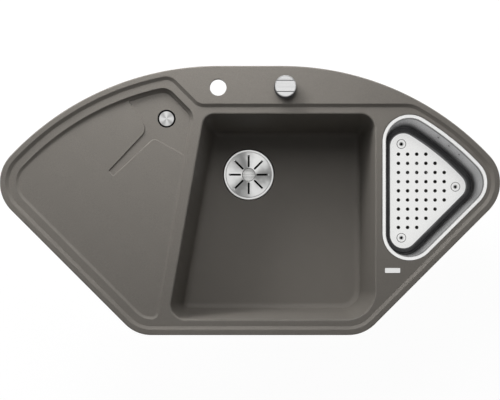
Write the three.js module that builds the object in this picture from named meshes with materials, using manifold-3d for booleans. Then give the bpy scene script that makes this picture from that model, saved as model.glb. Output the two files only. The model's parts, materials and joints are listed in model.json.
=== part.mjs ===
// Corner kitchen sink: composite moulding with drainer, main bowl and small bowl, a pop-up
// waste worked by a rotary knob, a lift-out colander, pipework and rim clamps.
// Millimetres, +Z up, +Y to the back. The origin is in the middle of the outline, in the plane
// of the worktop on which the rim rests.

import * as THREE from 'three';
import { mergeVertices } from 'three/addons/utils/BufferGeometryUtils.js';
import Module from 'manifold-3d';

const wasm = await Module();
wasm.setup();

// ---------------------------------------------------------------- driving dimensions

const WIDTH = 1050;
const DEPTH = 565;
const BACK_RADIUS = 598;             // the two long arcs of the back
const BACK_FLAT_HALF = 66.9;         // half of the straight stretch between them
const SIDE_RADIUS = 82.6;
const FRONT_RADIUS = 78;
const SLANT_REACH = 521.7;           // |x| - y on the two 45 degree front edges

const RIM_TOP = 8.5;
const DECK_TOP = 2.5;
const DECK_UNDERSIDE = -5.5;
const RIM_FLAT = 10.5;               // width of the raised rim
const RIM_SEAT = 24;                 // width of the rim that rests on the worktop
const LEDGE_FRONT = 203.9;           // front edge of the raised tap ledge
const LEDGE_SLANT = 97.7;            // x + y on the ledge's 45 degree end

const DRAINER_INSET = 32;            // from the outline
const DRAINER_SLANT = 67;            // x + y on the drainer's 45 degree edge
const PAD_LEVEL = -6.6;              // drainer floor in the middle of the object
const PAD_SLOPE = 0.0156;            // fall of the drainer towards its overflow
const CHANNEL_LEVEL = -10.4;         // the same for the channel and the overflow corner
const CHANNEL_SLOPE = 0.0205;
const SHELL = 9;                     // wall of the moulding

const BOWL_LEFT = -120.8;            // at LEAN_Y, on a line that leans by LEAN
const BOWL_RIGHT = 262.6;
const BOWL_BACK = 181.3;
const BOWL_FRONT = -249.4;
const BOWL_FLOOR = -190;
const BOWL_DRAFT = 15.5;
const BOWL_FILLET = 15;
const LEAN = 0.1763;                 // 10 degrees
const LEAN_Y = 39;
const DRAINER_RIGHT = -141.5;        // on the same lean

const SMALL_INSET = 26.2;            // colander rim, from the outline
const SMALL_LEFT = 278.1;
const SMALL_RADIUS = 57;
const SMALL_FLOOR = -140;
const SEAT_LEVEL = 0.8;              // ledge on which the colander's rim hangs

const TAP = { x: -66.8, y: 237.2, hole: 17.5 };
const KNOB = { x: 74, y: 237.2, hole: 17.5 };
const OVERFLOW = { x: -176, y: 173.5, hole: 19 };
const WASTE = { x: -2.9, y: 68, hole: 45.5, recess: 57.5, sunk: 5 };
const SMALL_WASTE = { x: 356, y: 68, hole: 26, recess: 36, sunk: 2.5 };

const COLANDER_FLOOR = -117;
const COLANDER_SHEET = 1.2;
const COLANDER_RIM = 8;
const HOLE_PITCH = 20;
const HOLE_RADIUS = 3.25;
const HOLE_ROWS = [4, 5, 6, 6, 6, 6, 5, 4, 3];
const HOLE_START = { x: 324.2, y: 107.6 };
const FEET = [
  { name: 'back', x: 330.6, y: 129.7 },
  { name: 'side', x: 448.6, y: 36.3 },
  { name: 'front', x: 330.6, y: -75.1 },
];

const PIPE = { outer: 20, bore: 17, level: -243 };
const TEE_X = 165;
const HOSE = { crest: 12.5, root: 11, bore: 9.1, rib: 5, bend: 60 };
const GAP = 0.3;                     // left between pieces that touch

// Clamps: the direction, in degrees, of each claw when it grips, and the side it folds to.
const CLAMPS = [
  { name: 'back_left', x: -140, y: 243, grip: 103, fold: -90 },
  { name: 'back_right', x: 180, y: 237, grip: 78, fold: -90 },
  { name: 'side_right', x: 285, y: 198, grip: 66, fold: 90 },
  { name: 'front_right', x: 300, y: -172, grip: -45, fold: 90 },
  { name: 'front_left', x: -190, y: -247, grip: -90, fold: -90 },
  { name: 'side_left', x: -330, y: -142, grip: -135, fold: -90 },
];

// ---------------------------------------------------------------- finishes

const finish = (color, roughness, metalness = 0) =>
  new THREE.MeshStandardMaterial({ color, roughness, metalness });

const FINISHES = {
  composite: () => finish(0x73706b, 0.7),
  steel: () => finish(0xd9dadb, 0.28, 1),
  chrome: () => finish(0xe6e7e8, 0.12, 1),
  darkMetal: () => finish(0x4a4a4b, 0.35, 1),
  zinc: () => finish(0xa8abad, 0.4, 1),
  blackPlastic: () => finish(0x1b1b1c, 0.5),
  greyPlastic: () => finish(0x8d9091, 0.5),
  whitePlastic: () => finish(0xe4e4e1, 0.45),
  rubber: () => finish(0x242424, 0.85),
};

const sink = new THREE.Group();

function addPart(name, geometry, look) {
  const mesh = new THREE.Mesh(geometry, FINISHES[look]());
  mesh.name = name;
  sink.add(mesh);
  return mesh;
}

// ---------------------------------------------------------------- solids and booleans

// A position-only geometry with shared vertices, no zero-area faces, and its faces pointing out.
function closed(geometry) {
  geometry.deleteAttribute('normal');
  geometry.deleteAttribute('uv');
  const merged = mergeVertices(geometry, 1e-4);
  const at = merged.getAttribute('position');
  const index = merged.getIndex().array;
  const faces = [];
  let volume = 0;
  const [a, b, c] = [new THREE.Vector3(), new THREE.Vector3(), new THREE.Vector3()];
  for (let i = 0; i < index.length; i += 3) {
    const [p, q, r] = [index[i], index[i + 1], index[i + 2]];
    if (p === q || q === r || r === p) continue;
    faces.push(p, q, r);
    a.fromBufferAttribute(at, p);
    b.fromBufferAttribute(at, q);
    c.fromBufferAttribute(at, r);
    volume += a.dot(b.cross(c));
  }
  if (volume < 0) faces.reverse();
  merged.setIndex(faces);
  return merged;
}

function solid(geometry) {
  const shape = closed(geometry);
  return new wasm.Manifold(new wasm.Mesh({
    numProp: 3,
    vertProperties: Float32Array.from(shape.getAttribute('position').array),
    triVerts: Uint32Array.from(shape.getIndex().array),
  }));
}

function geometryOf(body) {
  const mesh = body.getMesh();
  const geometry = new THREE.BufferGeometry();
  geometry.setAttribute('position', new THREE.BufferAttribute(mesh.vertProperties, 3));
  geometry.setIndex(new THREE.BufferAttribute(mesh.triVerts, 1));
  return geometry;
}

const join = (...bodies) => bodies.reduce((whole, body) => whole.add(body));
const cut = (body, ...tools) => tools.reduce((rest, tool) => rest.subtract(tool), body);

// A profile of [radius, z] pairs turned about +Z. It closes on itself or ends on the axis.
function turned(profile, segments = 20) {
  const points = profile.map(([r, z]) => new THREE.Vector2(r, z));
  return new THREE.LatheGeometry(points, segments).rotateX(Math.PI / 2);
}

const rod = (radius, low, high, segments = 12) =>
  turned([[0, low], [radius, low], [radius, high], [0, high]], segments);

// A faceted bore whose flats, not its corners, lie at the given radius.
const clear = (radius, segments) => radius / Math.cos(Math.PI / segments);

function tube(inner, outer, low, high, segments = 20) {
  const bore = clear(inner, segments);
  return turned([[bore, low], [outer, low], [outer, high], [bore, high], [bore, low]], segments);
}

const block = (x0, x1, y0, y1, z0, z1) =>
  new THREE.BoxGeometry(x1 - x0, y1 - y0, z1 - z0)
    .translate((x0 + x1) / 2, (y0 + y1) / 2, (z0 + z1) / 2);

// A tube from rings of points: along the outside, then back along the bore.
function tubeFromRings(rings) {
  const sides = rings[0].length;
  const faces = [];
  rings.forEach((_, i) => {
    const next = (i + 1) % rings.length;
    for (let j = 0; j < sides; j += 1) {
      const k = (j + 1) % sides;
      const [a, b] = [i * sides + j, i * sides + k];
      const [c, d] = [next * sides + k, next * sides + j];
      faces.push(a, b, c, a, c, d);
    }
  });
  const geometry = new THREE.BufferGeometry();
  const values = rings.flat().flatMap((point) => [point.x, point.y, point.z]);
  geometry.setAttribute('position', new THREE.Float32BufferAttribute(values, 3));
  geometry.setIndex(faces);
  return closed(geometry);
}

const shifted = (geometry, place, z = 0) => geometry.translate(place.x, place.y, z);

// An upright prism over a closed outline given by radius as a function of angle.
function prism(radiusAt, steps, low, high, holeRadius = 0, holeSteps = 12) {
  const ringOf = (count, radius) => Array.from({ length: count }, (_, i) => {
    const t = (2 * Math.PI * i) / count;
    return new THREE.Vector2(radius(t) * Math.cos(t), radius(t) * Math.sin(t));
  });
  const shape = new THREE.Shape(ringOf(steps, radiusAt));
  if (holeRadius > 0) {
    shape.holes.push(new THREE.Path(ringOf(holeSteps, () => clear(holeRadius, holeSteps))));
  }
  return new THREE.ExtrudeGeometry(shape, { depth: high - low, bevelEnabled: false })
    .translate(0, 0, low);
}

const hexagon = (flats, low, high, hole) =>
  prism(() => flats / Math.sqrt(3), 6, low, high, hole, 12);

// A hand-tightened plastic nut: a ring with shallow lobes for grip.
const lobedNut = (bore, radius, low, high, lobes = 8) =>
  prism((t) => radius - 1 + Math.cos(lobes * t), lobes * 2, low, high, bore, 12);

// ---------------------------------------------------------------- outlines with offsets

// Each edge of a region gives the distance inwards from it and the direction of that distance.
const line = (x, y, nx, ny) => ({
  x, y,
  measure: (px, py) => [(px - x) * nx + (py - y) * ny, nx, ny],
});

const arc = (cx, cy, radius, x, y, steps) => ({
  x, y, cx, cy, radius, steps,
  measure: (px, py) => {
    const reach = Math.hypot(cx - px, cy - py);
    return [radius - reach, (cx - px) / reach, (cy - py) / reach];
  },
});

function meetingOf(first, second, distance, start) {
  let [x, y] = start;
  for (let turn = 0; turn < 12; turn += 1) {
    const [d1, a, b] = first.measure(x, y);
    const [d2, c, d] = second.measure(x, y);
    const det = a * d - b * c;
    const [e1, e2] = [distance - d1, distance - d2];
    x += (e1 * d - b * e2) / det;
    y += (a * e2 - c * e1) / det;
  }
  return [x, y];
}

function tangentsCross(first, second) {
  const [, a, b] = first.measure(first.x, first.y);
  const [, c, d] = second.measure(second.x, second.y);
  const [e1, e2] = [a * first.x + b * first.y, c * second.x + d * second.y];
  const det = a * d - b * c;
  return [(e1 * d - b * e2) / det, (a * e2 - c * e1) / det];
}

const wrapped = (angle) => Math.atan2(Math.sin(angle), Math.cos(angle));

// A region is a ring of edges, anticlockwise. corners[i] rounds the corner between edge i and
// the next: a radius, negative on a corner that points inwards, or a point where they touch.
function offsetLoop({ edges, corners, fine = 5 }, inset) {
  const count = edges.length;
  const rounds = edges.map((edge, i) => {
    const next = edges[(i + 1) % count];
    const corner = corners[i];
    if (Array.isArray(corner)) {
      const [, nx, ny] = edge.measure(...corner);
      return [[corner[0] + nx * inset, corner[1] + ny * inset]];
    }
    const radius = corner > 0 ? Math.max(corner - inset, 0.6) : Math.min(corner - inset, -0.6);
    const [cx, cy] = meetingOf(edge, next, inset + radius, tangentsCross(edge, next));
    const [, ax, ay] = edge.measure(cx, cy);
    const [, bx, by] = next.measure(cx, cy);
    const from = Math.atan2(-ay * radius, -ax * radius);
    const sweep = wrapped(Math.atan2(-by * radius, -bx * radius) - from);
    return Array.from({ length: fine + 1 }, (_, k) => {
      const t = from + (sweep * k) / fine;
      return [cx + Math.abs(radius) * Math.cos(t), cy + Math.abs(radius) * Math.sin(t)];
    });
  });
  const loop = [];
  edges.forEach((edge, i) => {
    const before = rounds[(i + count - 1) % count].at(-1);
    if (edge.radius) {
      const after = rounds[i][0];
      const from = Math.atan2(before[1] - edge.cy, before[0] - edge.cx);
      const sweep = wrapped(Math.atan2(after[1] - edge.cy, after[0] - edge.cx) - from);
      for (let k = 1; k < edge.steps; k += 1) {
        const t = from + (sweep * k) / edge.steps;
        const reach = edge.radius - inset;
        loop.push([edge.cx + reach * Math.cos(t), edge.cy + reach * Math.sin(t)]);
      }
    }
    loop.push(...rounds[i]);
  });
  return loop;
}

// A closed body through loops at rising heights. A height is a number or a function of x and y.
function stack(region, levels) {
  const loops = levels.map(([inset, height]) => {
    const z = typeof height === 'function' ? height : () => height;
    return offsetLoop(region, inset).map(([x, y]) => [x, y, z(x, y)]);
  });
  const size = loops[0].length;
  const faces = [];
  for (let i = 0; i + 1 < loops.length; i += 1) {
    for (let j = 0; j < size; j += 1) {
      const [a, b] = [i * size + j, i * size + ((j + 1) % size)];
      faces.push(a, b, b + size, a, b + size, a + size);
    }
  }
  const cap = (loop) =>
    THREE.ShapeUtils.triangulateShape(loop.map(([x, y]) => new THREE.Vector2(x, y)), []);
  cap(loops[0]).forEach(([a, b, c]) => faces.push(c, b, a));
  const top = (loops.length - 1) * size;
  cap(loops.at(-1)).forEach(([a, b, c]) => faces.push(top + a, top + b, top + c));
  const geometry = new THREE.BufferGeometry();
  geometry.setAttribute('position', new THREE.Float32BufferAttribute(loops.flat(2), 3));
  geometry.setIndex(faces);
  return geometry;
}

// Part of a quarter circle as [inset, z] pairs about a centre, from one angle to another.
function rounding(inset, z, radius, fromDegrees, toDegrees, steps) {
  return Array.from({ length: steps + 1 }, (_, k) => {
    const t = THREE.MathUtils.degToRad(fromDegrees + ((toDegrees - fromDegrees) * k) / steps);
    return [inset + radius * Math.cos(t), z + radius * Math.sin(t)];
  });
}

// ---------------------------------------------------------------- the sink's regions

const HALF_WIDTH = WIDTH / 2;
const FRONT = -DEPTH / 2;
const BACK = DEPTH / 2;
const BACK_CENTRE_Y = BACK - BACK_RADIUS;
const S = Math.SQRT1_2;

const frontEdge = (inset) => line(0, FRONT + inset, 0, 1);
const rightSlant = (inset) => line(380 - inset * S, 380 - SLANT_REACH + inset * S, -S, S);
const leftSlant = (inset) => line(-380 + inset * S, 380 - SLANT_REACH + inset * S, S, S);
const rightArc = (inset, steps = 7) =>
  arc(BACK_FLAT_HALF, BACK_CENTRE_Y, BACK_RADIUS - inset, 380, 192, steps);
const leftArc = (inset, steps = 7) =>
  arc(-BACK_FLAT_HALF, BACK_CENTRE_Y, BACK_RADIUS - inset, -380, 192, steps);
const leaning = (x, side) =>
  line(x, LEAN_Y, side / Math.hypot(1, LEAN), (-side * LEAN) / Math.hypot(1, LEAN));

const OUTLINE = {
  edges: [frontEdge(0), rightSlant(0), rightArc(0), line(0, BACK, 0, -1), leftArc(0),
    leftSlant(0)],
  corners: [FRONT_RADIUS, SIDE_RADIUS, [BACK_FLAT_HALF, BACK], [-BACK_FLAT_HALF, BACK],
    SIDE_RADIUS, FRONT_RADIUS],
  fine: 6,
};

const DECK = {
  edges: [frontEdge(RIM_FLAT), rightSlant(RIM_FLAT), rightArc(RIM_FLAT, 4),
    line(100, LEDGE_FRONT, 0, -1), line(-150, LEDGE_SLANT + 150, -S, -S), leftArc(RIM_FLAT, 6),
    leftSlant(RIM_FLAT)],
  corners: [FRONT_RADIUS - RIM_FLAT, SIDE_RADIUS - RIM_FLAT, 60, -25, 32, SIDE_RADIUS - RIM_FLAT,
    FRONT_RADIUS - RIM_FLAT],
};

const DRAINER = {
  edges: [frontEdge(DRAINER_INSET), leaning(DRAINER_RIGHT, -1), line(-120, DRAINER_SLANT + 120, -S, -S),
    leftArc(DRAINER_INSET, 5), leftSlant(DRAINER_INSET)],
  corners: [17, 32, 34, SIDE_RADIUS - DRAINER_INSET, FRONT_RADIUS - DRAINER_INSET],
};

const CHANNEL_WALL = 5;              // the channel starts this far inside the drainer's edge
const CHANNEL = {
  edges: [line(-165, 109.2, 0.483, 0.875), leaning(DRAINER_RIGHT - CHANNEL_WALL, -1),
    line(-120, DRAINER_SLANT + 120 - CHANNEL_WALL / S, -S, -S),
    leftArc(DRAINER_INSET + CHANNEL_WALL, 3), line(-237.5, 184.2, 0.841, 0.541),
    line(-260.5, 98.8, 0.73, -0.683), line(-290, 55.6, 0.764, 0.645),
    line(-244.2, 87.5, -0.682, 0.731)],
  corners: [4, 27, 27, 4, -19.8, 4, 4, -10.5],
  fine: 3,
};

const BOWL = {
  edges: [line(0, BOWL_FRONT, 0, 1), line(BOWL_RIGHT, 0, -1, 0), line(0, BOWL_BACK, 0, -1),
    leaning(BOWL_LEFT, 1)],
  corners: [60, 30, 24, 30],
};

const SMALL_BOWL = {
  edges: [rightSlant(SMALL_INSET), rightArc(SMALL_INSET, 5), line(SMALL_LEFT, 0, 1, 0)],
  corners: [SIDE_RADIUS - SMALL_INSET, SMALL_RADIUS, SMALL_RADIUS],
};

// ---------------------------------------------------------------- the moulding

const alongFall = (x, y) => (x + y) * S;
const padFloor = (x, y) => PAD_LEVEL - PAD_SLOPE * alongFall(x, y);
const channelFloor = (x, y) => CHANNEL_LEVEL - CHANNEL_SLOPE * alongFall(x, y);
const under = (floor) => (x, y) => floor(x, y) - SHELL;
const between = (floor, share) => (x, y) => floor(x, y) + share * (DECK_TOP - floor(x, y));

// A bowl's wall: rounded lip, drafted wall and a wide fillet to the floor, from the floor up.
function bowlCavity({ lip, draft, fillet, floor, top, start = 0 }) {
  const foot = start + draft;
  return [
    ...rounding(foot + fillet, floor + fillet, fillet, 270, 184, 4),
    ...rounding(start - lip, top - lip, lip, 0, 84, 2),
    [start - lip, top + 6],
  ];
}

function bowlShell({ draft, fillet, floor, start = 0 }) {
  const foot = start + draft - SHELL;
  const reach = fillet + SHELL;
  return [...rounding(foot + reach, floor + fillet, reach, 270, 184, 3), [start - SHELL, 0]];
}

const MAIN_FORM = {
  lip: 4, draft: BOWL_DRAFT, fillet: BOWL_FILLET, floor: BOWL_FLOOR, top: DECK_TOP,
};
const SMALL_FORM = {
  lip: 1, draft: 3, fillet: 14, floor: SMALL_FLOOR, top: SEAT_LEVEL, start: 5,
};

function mouldedBody() {
  const rim = stack(OUTLINE, [[0, 0], [0, 5.5], [0.9, 7.6], [3, RIM_TOP]]);
  const deck = stack(OUTLINE, [[RIM_SEAT + 1.5, DECK_UNDERSIDE], [RIM_SEAT, RIM_TOP - 3]]);
  const belly = stack(DRAINER, [[-2, under(padFloor)], [-7, between(padFloor, -0.1)], [-7, 0.5]]);
  const mainShell = stack(BOWL, bowlShell(MAIN_FORM));
  const smallShell = stack(SMALL_BOWL, bowlShell(SMALL_FORM));
  const web = block(257, 284, -70, 120, SMALL_FLOOR + 30, -2);
  const bosses = [
    shifted(rod(WASTE.recess + 7, BOWL_FLOOR - SHELL - 5, BOWL_FLOOR - 2, 24), WASTE),
    shifted(rod(OVERFLOW.hole + 12, -22, -12, 16), OVERFLOW),
    ...CLAMPS.map((clamp) => shifted(rod(8, -25, -1, 8), clamp)),
  ];
  return join(...[rim, deck, belly, mainShell, smallShell, web, ...bosses].map(solid));
}

function topCuts() {
  const deck = stack(DECK, [            // a slope of 62 degrees between two roundings
    ...rounding(7.6, DECK_TOP + 5, 5, 270, 208, 2),
    ...rounding(0.2, RIM_TOP - 2, 2, 28, 80, 2),
    [0.4, RIM_TOP + 6]]);
  const drainer = stack(DRAINER, [
    [9, padFloor], [4.8, between(padFloor, 0.14)], [2.2, between(padFloor, 0.52)],
    [0.9, between(padFloor, 0.9)], [0, DECK_TOP + 0.02], [0, RIM_TOP]]);
  const channelRise = (share) => (x, y) =>
    channelFloor(x, y) + share * (padFloor(x, y) - channelFloor(x, y));
  const channel = stack(CHANNEL, [[3, channelFloor], [1, channelRise(0.3)], [0, channelRise(1.02)],
    [0, channelRise(1.6)]]);
  const main = stack(BOWL, bowlCavity(MAIN_FORM));
  const small = stack(SMALL_BOWL, bowlCavity(SMALL_FORM));
  const rebate = stack(SMALL_BOWL, [[-0.6, SEAT_LEVEL], [-0.6, DECK_TOP + 3]]);
  return [deck, drainer, channel, main, small, rebate];
}

function holeCuts() {
  const through = (place, low, high, segments) =>
    shifted(rod(place.hole, low, high, segments), place);
  const recess = (place, floor, segments) =>
    shifted(rod(place.recess, floor - place.sunk, floor + 8, segments), place);
  return [
    through(TAP, -20, 20, 18), through(KNOB, -20, 20, 18), through(OVERFLOW, -40, 5, 18),
    through(WASTE, BOWL_FLOOR - 20, BOWL_FLOOR + 8, 24), recess(WASTE, BOWL_FLOOR, 28),
    through(SMALL_WASTE, SMALL_FLOOR - 20, SMALL_FLOOR + 8, 20),
    recess(SMALL_WASTE, SMALL_FLOOR, 20),
    ...CLAMPS.map((clamp) => shifted(rod(3.5, -30, -8, 6), clamp)),
  ];
}

// The ledge is hollowed from below to an even thickness, with a flat seat round each hole.
function ledgePocket() {
  const pocket = solid(block(-104, 118, 206, 266, DECK_UNDERSIDE - 4, -1.5));
  const seats = [TAP, KNOB].map((place) => solid(shifted(rod(27, -3, 0, 16), place)));
  return cut(pocket, ...seats);
}

addPart('sink_body', geometryOf(cut(mouldedBody(), ...topCuts().map(solid), ledgePocket(),
  ...holeCuts().map(solid))), 'composite');

// ---------------------------------------------------------------- colander

function colander() {
  const rimTop = SEAT_LEVEL + GAP + COLANDER_SHEET + 0.5;
  const fillet = 14;
  const foot = COLANDER_RIM + 6;
  const inner = (grow) => [
    ...rounding(foot + fillet, COLANDER_FLOOR + fillet, fillet + grow, 270, 184, 3),
    ...rounding(COLANDER_RIM - 3, rimTop - 3, 3 - grow, 0, 84, 2),
  ];
  const seat = SEAT_LEVEL + GAP;
  const outside = solid(stack(SMALL_BOWL, [...inner(COLANDER_SHEET), [4, seat], [0.6, seat],
    [0, seat + 0.6], [0, rimTop - 0.5], [0.5, rimTop]]));
  const inside = solid(stack(SMALL_BOWL, [...inner(0), [COLANDER_RIM - 3, rimTop + 4]]));
  const hole = (radius, sides, x, y) =>
    solid(rod(radius, COLANDER_FLOOR - 4, COLANDER_FLOOR + 3, sides).translate(x, y, 0));
  const drainHoles = HOLE_ROWS.flatMap((count, row) => Array.from({ length: count }, (_, i) =>
    hole(HOLE_RADIUS, 6, HOLE_START.x + HOLE_PITCH * i, HOLE_START.y - HOLE_PITCH * row)));
  const footHoles = FEET.map(({ x, y }) => hole(8, 12, x, y));
  return cut(outside, inside, ...drainHoles, ...footHoles);
}

addPart('colander', geometryOf(colander()), 'steel');

// A foot grips the floor's edge in its waist and has a drain hole down the middle.
for (const place of FEET) {
  const [low, high] = [COLANDER_FLOOR - COLANDER_SHEET, COLANDER_FLOOR];
  const profile = [[3, high + 1.1], [9.4, high + 1.1], [10, high + GAP], [7.6, high + GAP],
    [7.6, low - GAP], [10.5, low - GAP], [10.5, low - 6], [9, low - 8], [3, low - 8],
    [3, high + 1.1]];
  const foot = shifted(closed(turned(profile, 10)), place);
  addPart(`colander_foot_${place.name}`, foot, 'whitePlastic');
}

// ---------------------------------------------------------------- main waste and strainer

// Heights of the waste's parts are counted from the bowl's floor.
const wasteBase = (z) => BOWL_FLOOR + z;
const wastePart = (name, geometry, look) =>
  addPart(name, shifted(closed(geometry), WASTE, BOWL_FLOOR), look);

const THROAT = { bore: 43, outer: 44.6, low: -40, lip: 34 };

wastePart('waste_flange', turned([[51, 0.2], [52.2, 0.8], [55.2, 0.8], [56.3, 0.1], [56.3, -3.6],
  [THROAT.outer, -3.6], [THROAT.outer, THROAT.low], [THROAT.bore, THROAT.low],
  [THROAT.bore, -28.5], [THROAT.lip, -28.5], [THROAT.lip, -26.5], [THROAT.bore, -26.5],
  [THROAT.bore, -2.5], [51, -2.5], [51, 0.2]], 22), 'steel');
wastePart('waste_seal_upper', tube(46.5, 56, -4.7, -3.9, 16), 'rubber');

const sinkUnderside = -SHELL - 5;
const lowerSeal = tube(45.2, 58, sinkUnderside - 2.3, sinkUnderside - GAP, 16);
wastePart('waste_seal_lower', lowerSeal, 'rubber');
const ringNut = lobedNut(45.1, 57, sinkUnderside - 10.6, sinkUnderside - 2.6, 12);
wastePart('waste_ring_nut', ringNut, 'greyPlastic');

const SLOTS = 8;
function strainerPlate() {
  const top = [[50.4, -0.4], [49.6, 0.1], [38, -2.6], [14, -4.4], [5.2, -4.5]];
  const underside = [[5.2, -6.1], [14, -6.0], [38, -4.2], [42.6, -2.0], [50.4, -2.0]];
  const slots = Array.from({ length: SLOTS }, (_, i) =>
    solid(block(17, 45, -1.7, 1.7, -12, 4).rotateZ((2 * Math.PI * i) / SLOTS)));
  return cut(solid(turned([...top, ...underside, top[0]].reverse(), 24)), ...slots);
}
wastePart('strainer_plate', geometryOf(strainerPlate()), 'steel');
wastePart('strainer_button', turned([[0, -11.5], [4.9, -11.5], [4.9, -4.1], [12.6, -4.1],
  [13.8, -3], [13.2, -1], [10, 1.4], [0, 2.5]], 16), 'steel');

function strainerCup() {
  const cup = solid(turned([[0, -29], [33, -29], [33, -23.9], [41, -23.9], [41, -6.6],
    [38.5, -6.6], [38.5, -22], [9, -22], [9, -6.8], [5.2, -6.8], [5.2, -12], [0, -12]], 16));
  const windows = Array.from({ length: 6 }, (_, i) =>
    solid(block(30, 44, -9, 9, -20, -10).rotateZ((Math.PI * i) / 3)));
  return cut(cup, ...windows);
}
wastePart('strainer_cup', geometryOf(strainerCup()), 'greyPlastic');
wastePart('strainer_seal', tube(33.3, 41.4, -26.2, -24.2, 16), 'rubber');

const GUIDE = { bore: 4.4, outer: 6, top: -38, low: -92 };
wastePart('lift_pin', rod(4, GUIDE.low + 24, -29.3, 12), 'zinc');

const SPIGOT_REACH = 72;
const INLET_REACH = 74;
const INLET_ANGLE = Math.atan2(OVERFLOW.y - WASTE.y, OVERFLOW.x - WASTE.x);
const PIPE_DROP = PIPE.level - BOWL_FLOOR;
const INLET_DROP = -50;

function wasteBody() {
  const along = (radius, from, to, segments) =>
    rod(radius, from, to, segments).rotateY(Math.PI / 2);
  const spigot = (radius, from, to) =>
    along(radius, from, to, 16).translate(0, 0, PIPE_DROP);
  const inlet = (radius, from, to) =>
    along(radius, from, to, 12).translate(0, 0, INLET_DROP).rotateZ(INLET_ANGLE);
  const pot = turned([[0, -78], [40, -78], [48.8, -70], [48.8, -25.3], [0, -25.3]], 18);
  const outer = [pot, spigot(PIPE.outer + 2, 30, SPIGOT_REACH),
    inlet(HOSE.root, 30, INLET_REACH), rod(11, -86, -74, 12)];
  const socket = clear(45, 18);
  const inner = [turned([[0, -75], [38, -75], [socket, -69], [socket, -20], [0, -20]], 18),
    spigot(PIPE.bore, 36, SPIGOT_REACH + 5), inlet(HOSE.bore - 0.6, 36, INLET_REACH + 5),
    rod(GUIDE.outer + GAP, -90, -70, 12)];
  return cut(join(...outer.map(solid)), ...inner.map(solid));
}
wastePart('waste_body', geometryOf(wasteBody()), 'greyPlastic');
wastePart('lift_guide', turned([[GUIDE.bore, GUIDE.top], [GUIDE.bore, GUIDE.low],
  [GUIDE.outer, GUIDE.low], [GUIDE.outer, -90.5], [10, -90.5], [10, -86.3], [GUIDE.outer, -86.3],
  [GUIDE.outer, GUIDE.top], [GUIDE.bore, GUIDE.top]], 12), 'blackPlastic');

// ---------------------------------------------------------------- rotary knob and its cable

const knobPart = (name, geometry, look) => addPart(name, shifted(closed(geometry), KNOB), look);
const SLEEVE = { bore: 12.4, outer: 16.8, low: -38 };

function knobHead() {
  const head = solid(turned([[0, 13], [20.5, 13], [21.9, 14.5], [22.6, 29], [21.6, 30.6], [0, 31]], 24));
  const grooves = [-11.3, 11.3].map((y) => solid(block(-30, 30, y - 0.45, y + 0.45, 29.4, 33)));
  const socket = solid(rod(5.3, 8, 22, 12));
  return cut(head, ...grooves, socket);
}
knobPart('control_knob', geometryOf(knobHead()), 'chrome');
knobPart('knob_base', turned([[SLEEVE.bore, 11.4], [22, 11.4], [23.6, 10.6],
  [23.6, RIM_TOP + GAP], [SLEEVE.outer, RIM_TOP + GAP], [SLEEVE.outer, SLEEVE.low],
  [SLEEVE.bore, SLEEVE.low], [SLEEVE.bore, 11.4]], 20), 'darkMetal');
knobPart('knob_locknut', hexagon(44, -11, -3 - GAP, SLEEVE.outer + GAP), 'blackPlastic');

const DRUM = { radius: 11, low: -58, high: -47 };
knobPart('cable_drum', turned([[0, DRUM.low], [DRUM.radius, DRUM.low], [DRUM.radius, DRUM.low + 2],
  [DRUM.radius - 2.5, DRUM.low + 4], [DRUM.radius - 2.5, DRUM.high - 4], [DRUM.radius, DRUM.high - 2],
  [DRUM.radius, DRUM.high], [5, DRUM.high], [5, 21.7], [0, 21.7]], 14), 'zinc');

const CABLE_X = 8;
function drumHousing() {
  const rim = SLEEVE.low - GAP;
  const shell = solid(turned([[0, -66], [16.5, -66], [18.5, -64], [18.5, rim], [13, rim],
    [13, -61], [0, -61]], 16));
  return cut(shell, solid(rod(2, -70, -58, 10).translate(CABLE_X, 0, 0)));
}
knobPart('drum_housing', geometryOf(drumHousing()), 'blackPlastic');

const CABLE_TOP = { x: KNOB.x + CABLE_X, y: KNOB.y, z: -80.3 };
const CABLE_END = { x: WASTE.x, y: WASTE.y, z: wasteBase(GUIDE.low) - 15.6 };
const CABLE_RADIUS = 2.5;
const ferruleTop = rod(4.2, -80, -66.3, 12);
const ferruleBottom = rod(4.8, CABLE_END.z + GAP, wasteBase(GUIDE.low) - GAP, 12);
addPart('cable_ferrule_top', shifted(closed(ferruleTop), CABLE_TOP), 'zinc');
addPart('cable_ferrule_bottom', shifted(closed(ferruleBottom), WASTE), 'zinc');

// The cable hangs in an open curve behind the bowl and comes up under the middle of the waste.
function cableRoute() {
  const { x, y, z } = CABLE_TOP;
  const fromTop = [[0, 0, 0], [0, 0, -16], [0, -4, -100], [-6, -22, -180], [-28, -62, -242],
    [-56, -112, -272], [-77, -149, -266]];
  return new THREE.CatmullRomCurve3([
    ...fromTop.map(([dx, dy, dz]) => new THREE.Vector3(x + dx, y + dy, z + dz)),
    new THREE.Vector3(CABLE_END.x, CABLE_END.y, CABLE_END.z - 14),
    new THREE.Vector3(CABLE_END.x, CABLE_END.y, CABLE_END.z)], false, 'centripetal');
}

function sweptRound(route, radius, steps, sides) {
  const section = new THREE.Shape(Array.from({ length: sides }, (_, i) => {
    const t = (2 * Math.PI * i) / sides;
    return new THREE.Vector2(radius * Math.cos(t), radius * Math.sin(t));
  }));
  return new THREE.ExtrudeGeometry(section, { steps, bevelEnabled: false, extrudePath: route });
}
addPart('bowden_cable', closed(sweptRound(cableRoute(), CABLE_RADIUS, 30, 8)), 'blackPlastic');

// ---------------------------------------------------------------- overflow of the drainer

const overflowPart = (name, geometry, look) =>
  addPart(name, shifted(closed(geometry), OVERFLOW), look);
const SPOUT = channelFloor(OVERFLOW.x, OVERFLOW.y);      // floor level at the overflow

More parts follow.
